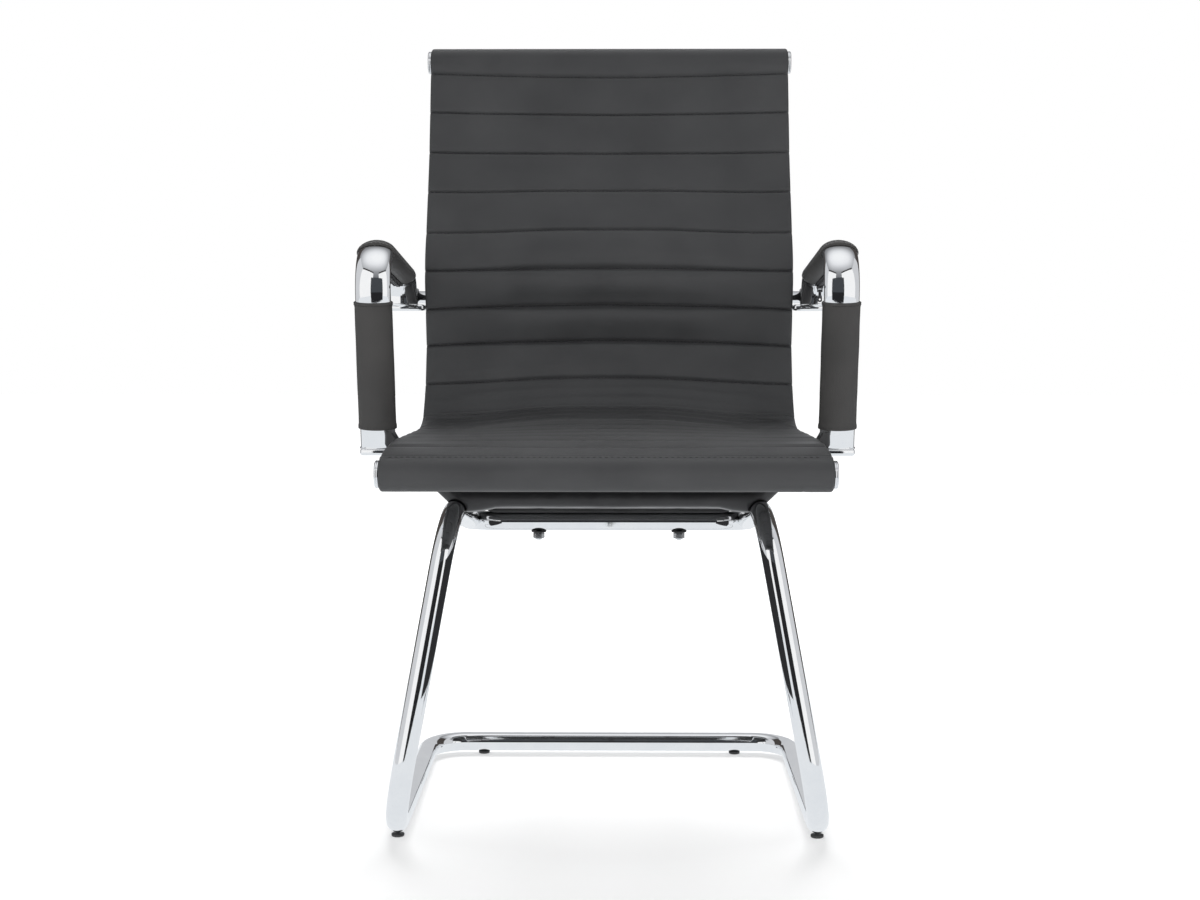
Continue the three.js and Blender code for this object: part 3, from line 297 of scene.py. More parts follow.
def table_value(table, at):
    """A smooth value between the rows of a table of (distance, value)."""
    last = len(table) - 1
    i = min(max(bisect.bisect_right([row[0] for row in table], at) - 1, 0), last - 1)
    (x1, y1), (x2, y2) = table[i], table[i + 1]
    (x0, y0), (x3, y3) = table[max(i - 1, 0)], table[min(i + 2, last)]
    t = min(max((at - x1) / (x2 - x1), 0), 1)
    rate1 = (y2 - y0) / (x2 - x0) * (x2 - x1)
    rate2 = (y3 - y1) / (x3 - x1) * (x2 - x1)
    return smooth_span(y1, y2, rate1, rate2, t)


def turns(count):
    return [2 * math.pi * i / count for i in range(count)]


# Meshes: a shape is a pair of points and faces

def add_mesh(name, shape, slot, look=None, body="chair", sharp=None, smooth=True):
    """A piece of the chair. Edges that turn by more than sharp, in degrees, stay sharp."""
    points, faces = shape
    shift = Vector((0, -CHAIR_CENTRE_Y, 0))
    mesh = bpy.data.meshes.new(name)
    mesh.from_pydata([(Vector(p) + shift) * MM for p in points], [], faces)
    mesh.validate()
    bm = bmesh.new()
    bm.from_mesh(mesh)
    bmesh.ops.recalc_face_normals(bm, faces=bm.faces)
    bm.to_mesh(mesh)
    bm.free()
    mesh.shade_smooth() if smooth else mesh.shade_flat()
    mesh.materials.append(LOOKS[look or slot])
    obj = bpy.data.objects.new(name, mesh)
    bpy.context.scene.collection.objects.link(obj)
    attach(obj, body)
    if sharp:
        with bpy.context.temp_override(object=obj, active_object=obj, selected_editable_objects=[obj]):
            bpy.ops.object.shade_auto_smooth(angle=math.radians(sharp))
    return obj


def skin(rings, caps=False, closed=False):
    """A skin over rings of points, with its two ends capped, or the last ring joined to the first."""
    rows, count = len(rings), len(rings[0])
    points = [Vector(p) for ring in rings for p in ring]
    faces = []
    for r in range(rows if closed else rows - 1):
        for c in range(count):
            r2, c2 = (r + 1) % rows, (c + 1) % count
            faces.append((r * count + c, r * count + c2, r2 * count + c2, r2 * count + c))
    if caps:
        faces += [tuple(range(count)), tuple(range(len(points) - count, len(points)))]
    return points, faces


def lathe(profile, count):
    """A piece turned about Z, from (radius, height) pairs."""
    return skin([[(r * math.cos(a), r * math.sin(a), z) for a in turns(count)] for r, z in profile], caps=True)


def moved(shape, matrix):
    points, faces = shape
    return [matrix @ p for p in points], faces


def joined(shapes):
    """Several shapes as one."""
    points, faces = [], []
    for part_points, part_faces in shapes:
        faces.extend(tuple(i + len(points) for i in face) for face in part_faces)
        points.extend(part_points)
    return points, faces


def rounded_box(size, centre, radius, segments):
    bm = bmesh.new()
    bmesh.ops.create_cube(bm, size=1)
    bmesh.ops.scale(bm, vec=Vector(size), verts=bm.verts)
    bmesh.ops.bevel(bm, geom=list(bm.edges), offset=radius, segments=segments, profile=0.5, affect="EDGES")
    points = [v.co + Vector(centre) for v in bm.verts]
    faces = [tuple(v.index for v in f.verts) for f in bm.faces]
    bm.free()
    return points, faces


def lathe_piece(name, profile, slot, matrix, node_name, count=64):
    obj = add_mesh(name, moved(lathe(profile, count), matrix), slot, sharp=35)
    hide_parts(node_name)


# Courses and outlines

class Course:
    """A line through points, with places counted along its length."""

    def __init__(self, points):
        self.points = points
        self.lengths = [0.0]
        for a, b in zip(points, points[1:]):
            self.lengths.append(self.lengths[-1] + (b - a).length)
        self.length = self.lengths[-1]

    def span(self, distance):
        return min(max(bisect.bisect_right(self.lengths, distance) - 1, 0), len(self.points) - 2)

    def place(self, distance):
        i = self.span(distance)
        share = (distance - self.lengths[i]) / (self.lengths[i + 1] - self.lengths[i])
        return self.points[i].lerp(self.points[i + 1], share)

    def outward(self, distance, reach=None):
        """Square to the course, upward in the plane of Y and Z; evened out over a reach if there is one."""
        if reach is None:
            i = self.span(distance)
            along = (self.points[i + 1] - self.points[i]).normalized()
        else:
            along = (self.place(distance + reach) - self.place(distance - reach)).normalized()
        return Vector((0, -along.z, along.y))


def bend_points(before, corner, after, radius, step):
    inward = (corner - before).normalized()
    outward = (after - corner).normalized()
    turn = inward.angle(outward)
    if turn < 0.001:
        return [corner]
    start = corner - inward * radius * math.tan(turn / 2)
    centre = corner + (outward - inward).normalized() * radius / math.cos(turn / 2)
    spoke = start - centre
    count = max(2, math.ceil(turn / step))
    angles = [turn * i / count for i in range(count + 1)]
    return [centre + spoke * math.cos(a) + inward * radius * math.sin(a) for a in angles]


def rounded_course(corners, radii, step):
    """Points through the first corner, round a bend at each one between, to the last corner."""
    corners = [Vector(c) for c in corners]
    points = [corners[0]]
    for i, radius in enumerate(radii):
        points += bend_points(corners[i], corners[i + 1], corners[i + 2], radius, math.radians(step))
    return points + [corners[-1]]


def ellipse(width, thickness):
    """An outline as (across, up) pairs."""
    return [(width / 2 * math.sin(a), -thickness / 2 * math.cos(a)) for a in turns(56)]


def flat_oval(width, thickness):
    radius = thickness / 2
    half = width / 2 - radius
    outline = []
    for centre, start in ((half, -math.pi / 2), (-half, math.pi / 2)):
        angles = [start + math.pi * i / 24 for i in range(25)]
        outline += [(centre + radius * math.cos(a), radius * math.sin(a)) for a in angles]
    return outline


def rounded_strip(width, thickness, radius):
    outline = []
    for k, (sx, sy) in enumerate(((1, 1), (-1, 1), (-1, -1), (1, -1))):
        x, y = sx * (width / 2 - radius), sy * (thickness / 2 - radius)
        angles = [math.pi / 2 * (k + i / 4) for i in range(5)]
        outline += [(x + radius * math.cos(a), y + radius * math.sin(a)) for a in angles]
    return outline


# Materials

def plug(tree, owner, **values):
    """Gives sockets their values, or links them to what feeds them. A socket is named, or counted as in_0."""
    for key, value in values.items():
        socket = owner.inputs[int(key[3:]) if key.startswith("in_") else key.replace("_", " ")]
        if isinstance(value, bpy.types.NodeSocket):
            tree.links.new(value, socket)
        else:
            socket.default_value = value


def node(tree, kind, options=None, **values):
    made = tree.nodes.new("ShaderNode" + kind)
    for key, value in (options or {}).items():
        setattr(made, key, value)
    plug(tree, made, **values)
    return made


def texture(tree, kind, output="Fac", options=None, **values):
    """A texture laid out in the piece's own coordinates."""
    place = node(tree, "TexCoord").outputs["Object"]
    return node(tree, "Tex" + kind, options, Vector=place, **values).outputs[output]


def new_material(name):
    material = bpy.data.materials.new(name)
    material.use_nodes = True
    tree = material.node_tree
    return material, tree, tree.nodes["Principled BSDF"]


def ramp(tree, source, *stops):
    made = node(tree, "ValToRGB", Fac=source)
    elements = made.color_ramp.elements
    for i, (place, shade) in enumerate(stops):
        element = elements[i] if i < 2 else elements.new(place)
        element.position = place
        element.color = (*shade, 1) if isinstance(shade, tuple) else (shade, shade, shade, 1)
    return made.outputs["Color"]


def bump(tree, height, distance, strength, **normal):
    return node(tree, "Bump", Height=height, Distance=distance, Strength=strength, **normal).outputs["Normal"]


def leather(name, dark, light, rough=(0.42, 0.58)):
    """Fine-grained artificial leather: pebbles under a millimetre, faint creases, uneven sheen."""
    material, tree, shader = new_material(name)
    cells = texture(tree, "Voronoi", "Distance", {"feature": "SMOOTH_F1"}, Scale=1250, Smoothness=0.6)
    fine = texture(tree, "Noise", Scale=2600, Detail=2)
    broad = texture(tree, "Noise", Scale=14, Detail=4)
    plug(
        tree, shader,
        Base_Color=ramp(tree, broad, (0.3, dark), (0.7, light)),
        Roughness=ramp(tree, broad, (0.25, rough[0]), (0.75, rough[1])),
        Normal=bump(tree, fine, 0.00008, 0.35, Normal=bump(tree, cells, 0.00022, 0.5)),
        Specular_IOR_Level=0.38, Sheen_Weight=0.04, Sheen_Roughness=0.4,
    )
    return material


def chrome(name):
    """Polished plate with faint smears and a hair of waviness."""
    material, tree, shader = new_material(name)
    smear = texture(tree, "Noise", Scale=28, Detail=6, Roughness=0.7)
    wave = texture(tree, "Noise", Scale=60, Detail=1)
    plug(
        tree, shader,
        Base_Color=ramp(tree, smear, (0.35, (0.86, 0.87, 0.885)), (0.75, (0.92, 0.925, 0.93))),
        Roughness=ramp(tree, smear, (0.4, 0.035), (0.8, 0.1)),
        Normal=bump(tree, wave, 0.0001, 0.25),
        Metallic=1,
    )
    return material


def satin(name, dark, light, rough, metallic=0.0, grain=1800.0, depth=0.00005, edge=0.0008):
    """Paint, plastic or plated steel: fine grain, uneven tone and gloss, and edges that catch the light."""
    material, tree, shader = new_material(name)
    broad = texture(tree, "Noise", Scale=40, Detail=5)
    fine = texture(tree, "Noise", Scale=grain, Detail=2)
    rounded = node(tree, "Bevel", {"samples": 6}, Radius=edge).outputs["Normal"]
    plug(
        tree, shader,
        Base_Color=ramp(tree, broad, (0.3, dark), (0.7, light)),
        Roughness=ramp(tree, broad, (0.3, rough[0]), (0.7, rough[1])),
        Normal=bump(tree, fine, depth, 0.5, Normal=rounded),
        Metallic=metallic,
    )
    return material


def woven_tape(name):
    """Twill tape with threads half a millimetre apart."""
    material, tree, shader = new_material(name)
    warp, weft = (
        texture(tree, "Wave", "Fac", {"wave_type": "BANDS", "bands_direction": way}, Scale=320) for way in "XY"
    )
    both = node(tree, "Math", {"operation": "MULTIPLY"}, in_0=warp, in_1=weft).outputs[0]
    plug(
        tree, shader,
        Base_Color=ramp(tree, both, (0.0, (0.008, 0.008, 0.009)), (1.0, (0.035, 0.035, 0.037))),
        Normal=bump(tree, both, 0.0002, 0.8),
        Roughness=0.85,
    )
    return material


LOOKS = {
    "sling_leather": leather("sling_leather", (0.0265, 0.027, 0.0282), (0.035, 0.0355, 0.0368)),
    "arm_leather": leather("arm_leather", (0.025, 0.0243, 0.0238), (0.034, 0.0327, 0.0318), (0.45, 0.6)),
    "thread": satin("thread", (0.006, 0.006, 0.007), (0.012, 0.012, 0.013), (0.6, 0.75), grain=5200, depth=0.0001),
    "chrome": chrome("chrome"),
    "black_steel": satin("black_steel", (0.010, 0.010, 0.011), (0.017, 0.017, 0.018), (0.3, 0.42)),
    "black_plastic": satin(
        "black_plastic", (0.014, 0.014, 0.015), (0.024, 0.024, 0.025), (0.42, 0.58), depth=0.00008,
    ),
    "steel": satin("steel", (0.6, 0.61, 0.62), (0.78, 0.79, 0.8), (0.1, 0.2), metallic=1, edge=0.0004),
    "zip_metal": satin("zip_metal", (0.05, 0.05, 0.052), (0.16, 0.16, 0.165), (0.22, 0.4), metallic=1),
    "zip_tape": woven_tape("zip_tape"),
}


def dress_cad_nodes():
    slots = {s["node"]: s["material_slot"] for s in frame["record"]["subparts"]}
    for name, obj in frame["nodes"].items():
        obj.data.materials.clear()
        obj.data.materials.append(LOOKS[slots[name]])


# Sling

def through(points, per_span):
    """A smooth course through all the points."""
    made = []
    last = len(points) - 1
    for i in range(last):
        p0, p1, p2, p3 = points[max(i - 1, 0)], points[i], points[i + 1], points[min(i + 2, last)]
        made += [smooth_span(p1, p2, (p2 - p0) / 2, (p3 - p1) / 2, k / per_span) for k in range(per_span)]
    return Course([*made, points[-1]])


TOP_TUBE_Z = BACK_TOP - ROLL_RADIUS
TOP_TUBE_Y = SEAT_DEPTH + BACK_LEAN + ROLL_RADIUS
FRONT_TUBE_Z = SEAT_TOP - ROLL_RADIUS
BEND_Z = SEAT_TOP + BEND_RISE
FACE = through(
    [Vector((0, y * SEAT_DEPTH, SEAT_TOP + z * BEND_RISE)) for y, z in SEAT_SHARES]
    + [Vector((0, SEAT_DEPTH + y * BACK_LEAN, BEND_Z + z * (TOP_TUBE_Z - BEND_Z))) for y, z in BACK_SHARES],
    40,
)
SEAMED_LENGTH = FACE.length - FIRST_SEAM - LAST_SEAM
RIB_COUNT = round(SEAMED_LENGTH / RIB_PITCH)
RIB_LENGTH = SEAMED_LENGTH / RIB_COUNT


def middle_share(x, reach):
    """1 over the middle of the sling, easing to 0 at its sides."""
    flat, edge = reach
    return 1 - ease((abs(x) - flat) / (edge - flat))


def face_point(distance, x, offset):
    """A point of the sling: distance along its face, place across it, and height above the face."""
    bow = 1 - (abs(x) / HALF_WIDTH) ** 1.5
    at = distance + table_value(SEAM_BOW, distance) * bow - table_value(SEAM_SHIFT, distance)
    at = min(max(at, 0), FACE.length)
    middle = middle_share(x, TAUT_MIDDLE)
    rise = table_value(TAUT_RISE, at) * middle + table_value(HEM_RISE, at) * (1 - middle)
    return FACE.place(at) + Vector((x, 0, 0)) + FACE.outward(at, 2) * (offset + rise)


def rib_height(distance, x):
    """Crown of the channels with a narrow groove at each seam, and the distance to the nearest seam."""
    along = (distance - FIRST_SEAM) / RIB_LENGTH
    share = along - math.floor(along)
    off_seam = min(share, 1 - share) * RIB_LENGTH
    lumbar = hump(distance - LUMBAR_PLACE, LUMBAR_SPREAD) * (0.2 + 0.8 * middle_share(x, LUMBAR_MIDDLE))
    if distance < FIRST_SEAM or distance > FACE.length - LAST_SEAM:
        off_seam = max(FIRST_SEAM - distance, distance - FACE.length + LAST_SEAM)
        crown = RIB_CROWN * ease(off_seam / ROLL_EASE)
    else:
        roundness = RIB_ROUNDNESS - 1.3 * lumbar
        crown = RIB_CROWN * (1 + 3 * lumbar) * (1 - abs(2 * share ** (1 + 0.5 * lumbar) - 1) ** roundness)
    seam = SEAM_DEPTH * (1 + lumbar) * hump(off_seam, SEAM_WIDTH * (1 + 1.4 * lumbar))
    return crown - seam, off_seam


def pucker(distance, x, off_seam):
    """Small gathers along each seam, and a slow unevenness everywhere."""
    gather = uneven(x * 0.095, distance * 0.022, 3.1) * 0.45 * math.exp(-off_seam / 7)
    return gather + uneven(x * 0.009, distance * 0.014, 7.7) * 0.5


def crease(distance, x):
    if distance > CREASES_END:
        return 0
    inward = HALF_WIDTH - abs(x)
    height = 0
    for place, slant, width, rise, reach in CREASES:
        off = distance - place + slant * inward * 0.5
        fade = ease(inward / CREASE_START) * (1 - ease((inward - CREASE_FULL) / (reach - CREASE_FULL)))
        height += rise * fade * hump(off, width)
    for place, width, rise in FOLDS:
        off = distance - place - FOLD_WANDER * uneven(x * 0.007, place * 0.37, 1.3)
        share = max(0.55 + 0.9 * uneven(x * 0.005, place * 0.61, 8.2), 0.1)
        height += rise * share * ease((inward - FOLD_INSET) / FOLD_EASE) * hump(off, width)
    return height


def sheet_thickness(x):
    hem = ease((abs(x) - (HALF_WIDTH - HEM_WIDTH - HEM_STEP)) / HEM_STEP)
    return SHEET_THICKNESS + (HEM_THICKNESS - SHEET_THICKNESS) * hem


def rear_height(distance, x):
    """Height of the rear face, where the channels are flatter."""
    height, off_seam = rib_height(distance, x)
    other_gathers = pucker(distance, x + 300, off_seam)
    return other_gathers - sheet_thickness(x) - height * REAR_CROWN_SHARE


def edge_inset(x):
    """How far the face draws back where the edge is rounded."""
    left = EDGE_ROUNDING - (HALF_WIDTH - abs(x))
    return EDGE_ROUNDING - math.sqrt(max(EDGE_ROUNDING**2 - left**2, 0)) if left > 0 else 0


def sling_columns():
    """Places across the sling, close together where its edges are rounded."""
    inner_end = HALF_WIDTH - EDGE_ROUNDING
    right = [inner_end * k / 46 for k in range(1, 46)]
    right += [inner_end + EDGE_ROUNDING * math.sin(math.pi / 2 * k / 6) for k in range(7)]
    return [-x for x in right[::-1]] + [0.0] + right


def face_distances():
    """Distances along the face with points close together at each seam."""
    distances = [0, 2, 4]
    for rib in range(RIB_COUNT):
        start = FIRST_SEAM + rib * RIB_LENGTH
        distances += [start + d for d in SEAM_OFFSETS]
        distances.append(start + RIB_LENGTH / 2)
        distances += [start + RIB_LENGTH - d for d in SEAM_OFFSETS[:0:-1]]
    end = FACE.length - LAST_SEAM
    return distances + [end + d for d in (0, 1, 2.5, 5, 9)] + [FACE.length]


def roll_points(x, y, z, radius, start, end):
    angles = [start + (end - start) * i / 30 for i in range(1, 30)]
    return [Vector((x, y + radius * math.cos(a), z + radius * math.sin(a))) for a in angles]


def sling_outline(x):
    inset = edge_inset(x)
    radius = ROLL_RADIUS - inset
    meeting = math.asin((ROLL_RADIUS - sheet_thickness(x) + inset) / radius)
    distances = face_distances()
    points = []
    for distance in distances:
        height, off_seam = rib_height(distance, x)
        extra = pucker(distance, x, off_seam) + crease(distance, x)
        settle = ease(distance / SETTLE_LENGTH) * ease((FACE.length - distance) / SETTLE_LENGTH)
        points.append(face_point(distance, x, height - inset + extra * settle))
    points += roll_points(x, TOP_TUBE_Y, TOP_TUBE_Z, radius, math.pi, -math.pi / 2 - meeting)
    for distance in reversed(distances):
        if ROLL_RADIUS < distance < FACE.length - ROLL_RADIUS:
            points.append(face_point(distance, x, inset + rear_height(distance, x)))
    return points + roll_points(x, 0, FRONT_TUBE_Z, radius, meeting, -math.pi * 1.5)


def make_sling():
    rings = [sling_outline(x) for x in sling_columns()]
    sling = add_mesh("sling", skin(rings, caps=True), "sling_leather")
    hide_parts("sling_cover")


# Thread

def stitch(start, end, up, radius):
    """One stitch of thread between two points, sunk a little at both ends."""
    along = end - start
    across = along.cross(up).normalized() * 1.15
    rings = []
    for share, size, lift in STITCH_RINGS:
        centre = start + along * share + up * lift * radius
        rings.append([centre + (across * math.cos(a) + up * math.sin(a)) * radius * size for a in turns(6)])
    return skin(rings, caps=True)


def stitch_row(path, up_at, thread):
    """Stitches along a path. up_at gives the way up from a stitch's middle and its number in the row."""
    pitch, length, radius = thread
    course = Course(path)
    row = []
    for i in range(int(course.length / pitch)):
        middle = (i + 0.5) * pitch
        start, end = course.place(middle - length / 2), course.place(middle + length / 2)
        row.append(stitch(start, end, up_at((start + end) / 2, i), radius))
    return joined(row)


def evenly_across(reach, steps):
    return [-reach + 2 * reach * k / steps for k in range(steps + 1)]


def make_sling_stitches():
    radius = SEAM_STITCH[2]
    front, back = [], []
    for rib in range(RIB_COUNT + 1):
        distance = FIRST_SEAM + rib * RIB_LENGTH
        up = FACE.outward(distance)
        path = []
        for x in evenly_across(HALF_WIDTH - EDGE_ROUNDING, 120):
            height = rib_height(distance, x)[0] + crease(distance, x) + pucker(distance, x, 0)
            path.append(face_point(distance, x, height + radius))
        front.append(stitch_row(path, lambda middle, i, up=up: up, SEAM_STITCH))
        if ROLL_RADIUS < distance < FACE.length - ROLL_RADIUS:
            xs = evenly_across(HALF_WIDTH - EDGE_ROUNDING - HEM_WIDTH - HEM_STEP, 100)
            path = [face_point(distance, x, rear_height(distance, x) - radius) for x in xs]
            back.append(stitch_row(path, lambda middle, i, up=-up: up, SEAM_STITCH))
    add_mesh("sling_stitches_front", joined(front), "sling_leather", "thread")
    add_mesh("sling_stitches_back", joined(back), "sling_leather", "thread")


def make_front_topstitch():
    """The row of stitches that shows along the top of the front roll."""
    rise = math.sqrt(ROLL_RADIUS**2 - TOP_STITCH_Y**2) + 0.12
    up = Vector((0, TOP_STITCH_Y, rise)).normalized()
    xs = evenly_across(HALF_WIDTH - TOP_STITCH_INSET, 100)
    path = [Vector((x, TOP_STITCH_Y, FRONT_TUBE_Z + rise)) for x in xs]
    row = stitch_row(path, lambda middle, i: up, TOP_STITCH)
    add_mesh("front_topstitch", row, "sling_leather", "thread")


def make_hem_stitches():
    """One row of stitches up each hem on the rear face."""
    run = FACE.length - 2 * HEM_STITCH_END
    rows = []
    for _, side in SIDES:
        x = side * (HALF_WIDTH - HEM_WIDTH + HEM_STITCH_INSET)
        distances = [HEM_STITCH_END + run * k / 240 for k in range(241)]
        path = [face_point(distance, x, rear_height(distance, x) + 0.05) for distance in distances]
        length = Course(path).length

        def up_at(middle, i, length=length):
            return -FACE.outward(HEM_STITCH_END + run * min(i * SEAM_STITCH[0] / length, 1))

        rows.append(stitch_row(path, up_at, SEAM_STITCH))
    add_mesh("hem_stitches", joined(rows), "sling_leather", "thread")


# Chrome frame, caps and stretcher

def make_sled_frame():
    right = [Vector(c[:3]) for c in SLED_CORNERS]
    left = [Vector((-c.x, c.y, c.z)) for c in reversed(right)]
    radii = [c[3] for c in SLED_CORNERS]
    start = Vector((0, FLOOR_REAR_Y, FLOOR_TUBE_HEIGHT))
    course = rounded_course([start, *right, *left, start], radii + radii[::-1], 3)[:-1]
    count, sides = len(course), 56
    up = Vector((0, 0, 1))
    rings = []
    for i, centre in enumerate(course):
        along = (course[(i + 1) % count] - course[i - 1]).normalized()
        up = (up - along * up.dot(along)).normalized()
        across = along.cross(up)
        rings.append([centre + (across * math.cos(a) + up * math.sin(a)) * TUBE_RADIUS for a in turns(sides)])
    points, faces = skin(rings)
    last = (count - 1) * sides
    twist = min(range(sides), key=lambda s: (points[last] - points[s]).length)
    for k in range(sides):
        k2 = (k + 1) % sides
        faces.append((last + k, last + k2, (k2 + twist) % sides, (k + twist) % sides))
    tube = add_mesh("sled_tube", (points, faces), "chrome")
    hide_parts("sled_frame")


def make_caps():
    r, t = CAP_RADIUS, CAP_THICKNESS
    plug_radius = 10.2
    profile = [
        (plug_radius, -12), (plug_radius, 0), (r - 0.3, 0), (r, 0.3), (r, 1.6), (r - 0.35, 1.75), (r - 0.35, 2),
        (r, 2.15), (r, t - 1.5), (r - 0.35, t - 0.7), (r - 1.1, t - 0.25), (r - 2.4, t - 0.08), (r - 5, t - 0.02),
        (1, t),
    ]
    for end, y, z in (("front", 0, FRONT_TUBE_Z), ("top", TOP_TUBE_Y, TOP_TUBE_Z)):
        for name, side in SIDES:
            place = Matrix.Translation((side * (HALF_WIDTH + CLEARANCE), y, z))
            matrix = place @ Matrix.Rotation(side * math.pi / 2, 4, "Y")
            lathe_piece(f"cap_{end}_{name}", profile, "chrome", matrix, f"{end}_end_cap_{name}")


def make_stretcher():
    r = STRETCHER_RADIUS
    half = ARM_PLANE_X + HEM_FACE_X + STRETCHER_INSET + STRETCHER_HOLD
    profile = [(r - 1, -half), (r, -half + 1), (r, half - 1), (r - 1, half)]
    matrix = Matrix.Translation((0, STRETCHER_Y, STRETCHER_Z)) @ Matrix.Rotation(math.pi / 2, 4, "Y")
    lathe_piece("stretcher", profile, "chrome", matrix, "back_stretcher")


# Arms

ARM_FRONT_CORNER = Vector((
    0, ARM_FOOT_Y - (ARM_CORNER_HEIGHT - ARM_FOOT_HEIGHT) * math.tan(ARM_LEAN), ARM_CORNER_HEIGHT,
))
ARM_REAR_CORNER = Vector((
    0, ARM_REAR_POST_Y, ARM_CORNER_HEIGHT - (ARM_REAR_POST_Y - ARM_FRONT_CORNER.y) * math.tan(ARM_SLOPE),
))
ARM = Course(rounded_course(
    [(0, ARM_FOOT_Y, ARM_FOOT_HEIGHT), ARM_FRONT_CORNER, ARM_REAR_CORNER, (0, ARM_REAR_POST_Y, ARM_REAR_FOOT_HEIGHT)],
    [ARM_FRONT_BEND, ARM_REAR_BEND], 3,
))
FRONT_TURN = math.pi / 2 + ARM_LEAN + ARM_SLOPE
REAR_TURN = math.pi / 2 - ARM_SLOPE
POST_LENGTH = (ARM_FRONT_CORNER - ARM.points[0]).length - ARM_FRONT_BEND * math.tan(FRONT_TURN / 2)
REAR_POST_LENGTH = ARM_REAR_CORNER.z - ARM_REAR_FOOT_HEIGHT - ARM_REAR_BEND * math.tan(REAR_TURN / 2)
TOP_RUN_START = POST_LENGTH + ARM_FRONT_BEND * FRONT_TURN
TOP_RUN_END = ARM.length - REAR_POST_LENGTH - ARM_REAR_BEND * REAR_TURN
TOE_SHARE = ARM_TOE / (ARM_REAR_POST_Y - ARM_FRONT_CORNER.y)
COVER_START = TOP_RUN_START - ARM_FRONT_BEND * COVER_FRONT_ANGLE
COVER_END = TOP_RUN_END - COVER_REAR_GAP
ZIP_START = TOP_RUN_START + ZIP_FRONT_GAP
ZIP_END = TOP_RUN_END - COVER_REAR_GAP - ZIP_REAR_GAP


def arm_place(distance, across, up, side):
    """A point beside the arm's centre line: across is away from the seat, up is out of the loop."""
    place = ARM.place(distance) + ARM.outward(distance, 1.2) * up
    toe = (place.y - ARM_FRONT_CORNER.y) * TOE_SHARE
    return Vector((side * (ARM_PLANE_X + across + toe), place.y, place.z))


def arm_stations(start, end, step=3):
    stations = [start]
    for length in [d for d in ARM.lengths if start < d < end] + [end]:
        if length < end and length - stations[-1] <= 0.5:
            continue
        while length - stations[-1] > step * 2:
            stations.append(stations[-1] + step)
        stations.append(length)
    return stations


def arm_sweep(outlines, side, **ends):
    """A skin over outlines along the arm, as (distance, outline) pairs."""
    return skin([[arm_place(distance, a, u, side) for a, u in outline] for distance, outline in outlines], **ends)


def weld_bead(side, distance):
    """A ring of weld round the foot of a post."""
    rings = []
    for a, u in ellipse(ARM_TUBE_WIDTH, ARM_TUBE_THICKNESS):
        ring = []
        for angle in turns(8):
            grow = 1 + WELD_RADIUS * math.cos(angle) / math.hypot(a, u)
            ring.append(arm_place(distance + WELD_RADIUS * math.sin(angle), a * grow, u * grow, side))
        rings.append(ring)
    return skin(rings, closed=True)


def make_arm_tube(name, side):
    outline = ellipse(ARM_TUBE_WIDTH, ARM_TUBE_THICKNESS)
    shapes = [arm_sweep([(d, outline) for d in arm_stations(0, ARM.length)], side, caps=True)]
    for depth, y, z, reach in (
        (FRONT_PLATE_DEPTH, ARM_FOOT_Y, ARM_FOOT_HEIGHT, FRONT_PLATE_REACH),
        (REAR_PLATE_DEPTH, REAR_PLATE_FRONT + REAR_PLATE_DEPTH / 2, ARM_REAR_FOOT_HEIGHT, REAR_PLATE_REACH),
    ):
        outer = ARM_TUBE_WIDTH / 2 + reach
        size = (outer - HEM_FACE_X, depth, PLATE_THICKNESS)
        centre = (side * (ARM_PLANE_X + (outer + HEM_FACE_X) / 2), y, z)
        shapes.append(rounded_box(size, centre, PLATE_ROUNDING, 5))
    weld_place = PLATE_THICKNESS / 2 + WELD_INSET
    shapes += [weld_bead(side, distance) for distance in (weld_place, ARM.length - weld_place)]
    tube = add_mesh(f"arm_loop_{name}", joined(shapes), "chrome", sharp=40)
    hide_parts(f"arm_tube_{name}")


def lip_rings(at, way, outer, lip):
    """Rings round the edge of a sleeve, from its lining to its outside. way is 1 at its start, -1 at its end."""
    inner = ellipse(ARM_TUBE_WIDTH + LINING_ROOM, ARM_TUBE_THICKNESS + LINING_ROOM)
    rings = [(at + way * lip * 0.9, inner)]
    for k in range(7):
        angle = math.pi / 2 * k / 6
        share = math.sin(angle)
        outline = [
            (ai + (ao - ai) * share, ui + (uo - ui) * share) for (ai, ui), (ao, uo) in zip(inner, outer)
        ]
        rings.append((at + way * lip * (1 - math.cos(angle)), outline))
    return rings


def shell(start, end, outer_at, lip, side):
    """A sleeve round the arm with rounded edges."""
    outside = [(distance, outer_at(distance)) for distance in arm_stations(start + lip, end - lip)[1:-1]]
    first = lip_rings(start, 1, outer_at(start), lip)
    last = lip_rings(end, -1, outer_at(end), lip)[::-1]
    return arm_sweep(first + outside + last, side, closed=True)


def make_ring_stitches(name, places, outer_at, side, thread):
    """Rows of stitches right round a cover."""
    rows = []
    for at in places:
        path = [arm_place(at, a, u, side) for a, u in outer_at(at)[::2]]
        centre = arm_place(at, 0, 0, side)
        rows.append(stitch_row([*path, path[0]], lambda middle, i, c=centre: (middle - c).normalized(), thread))
    add_mesh(name, joined(rows), "arm_leather", "thread")


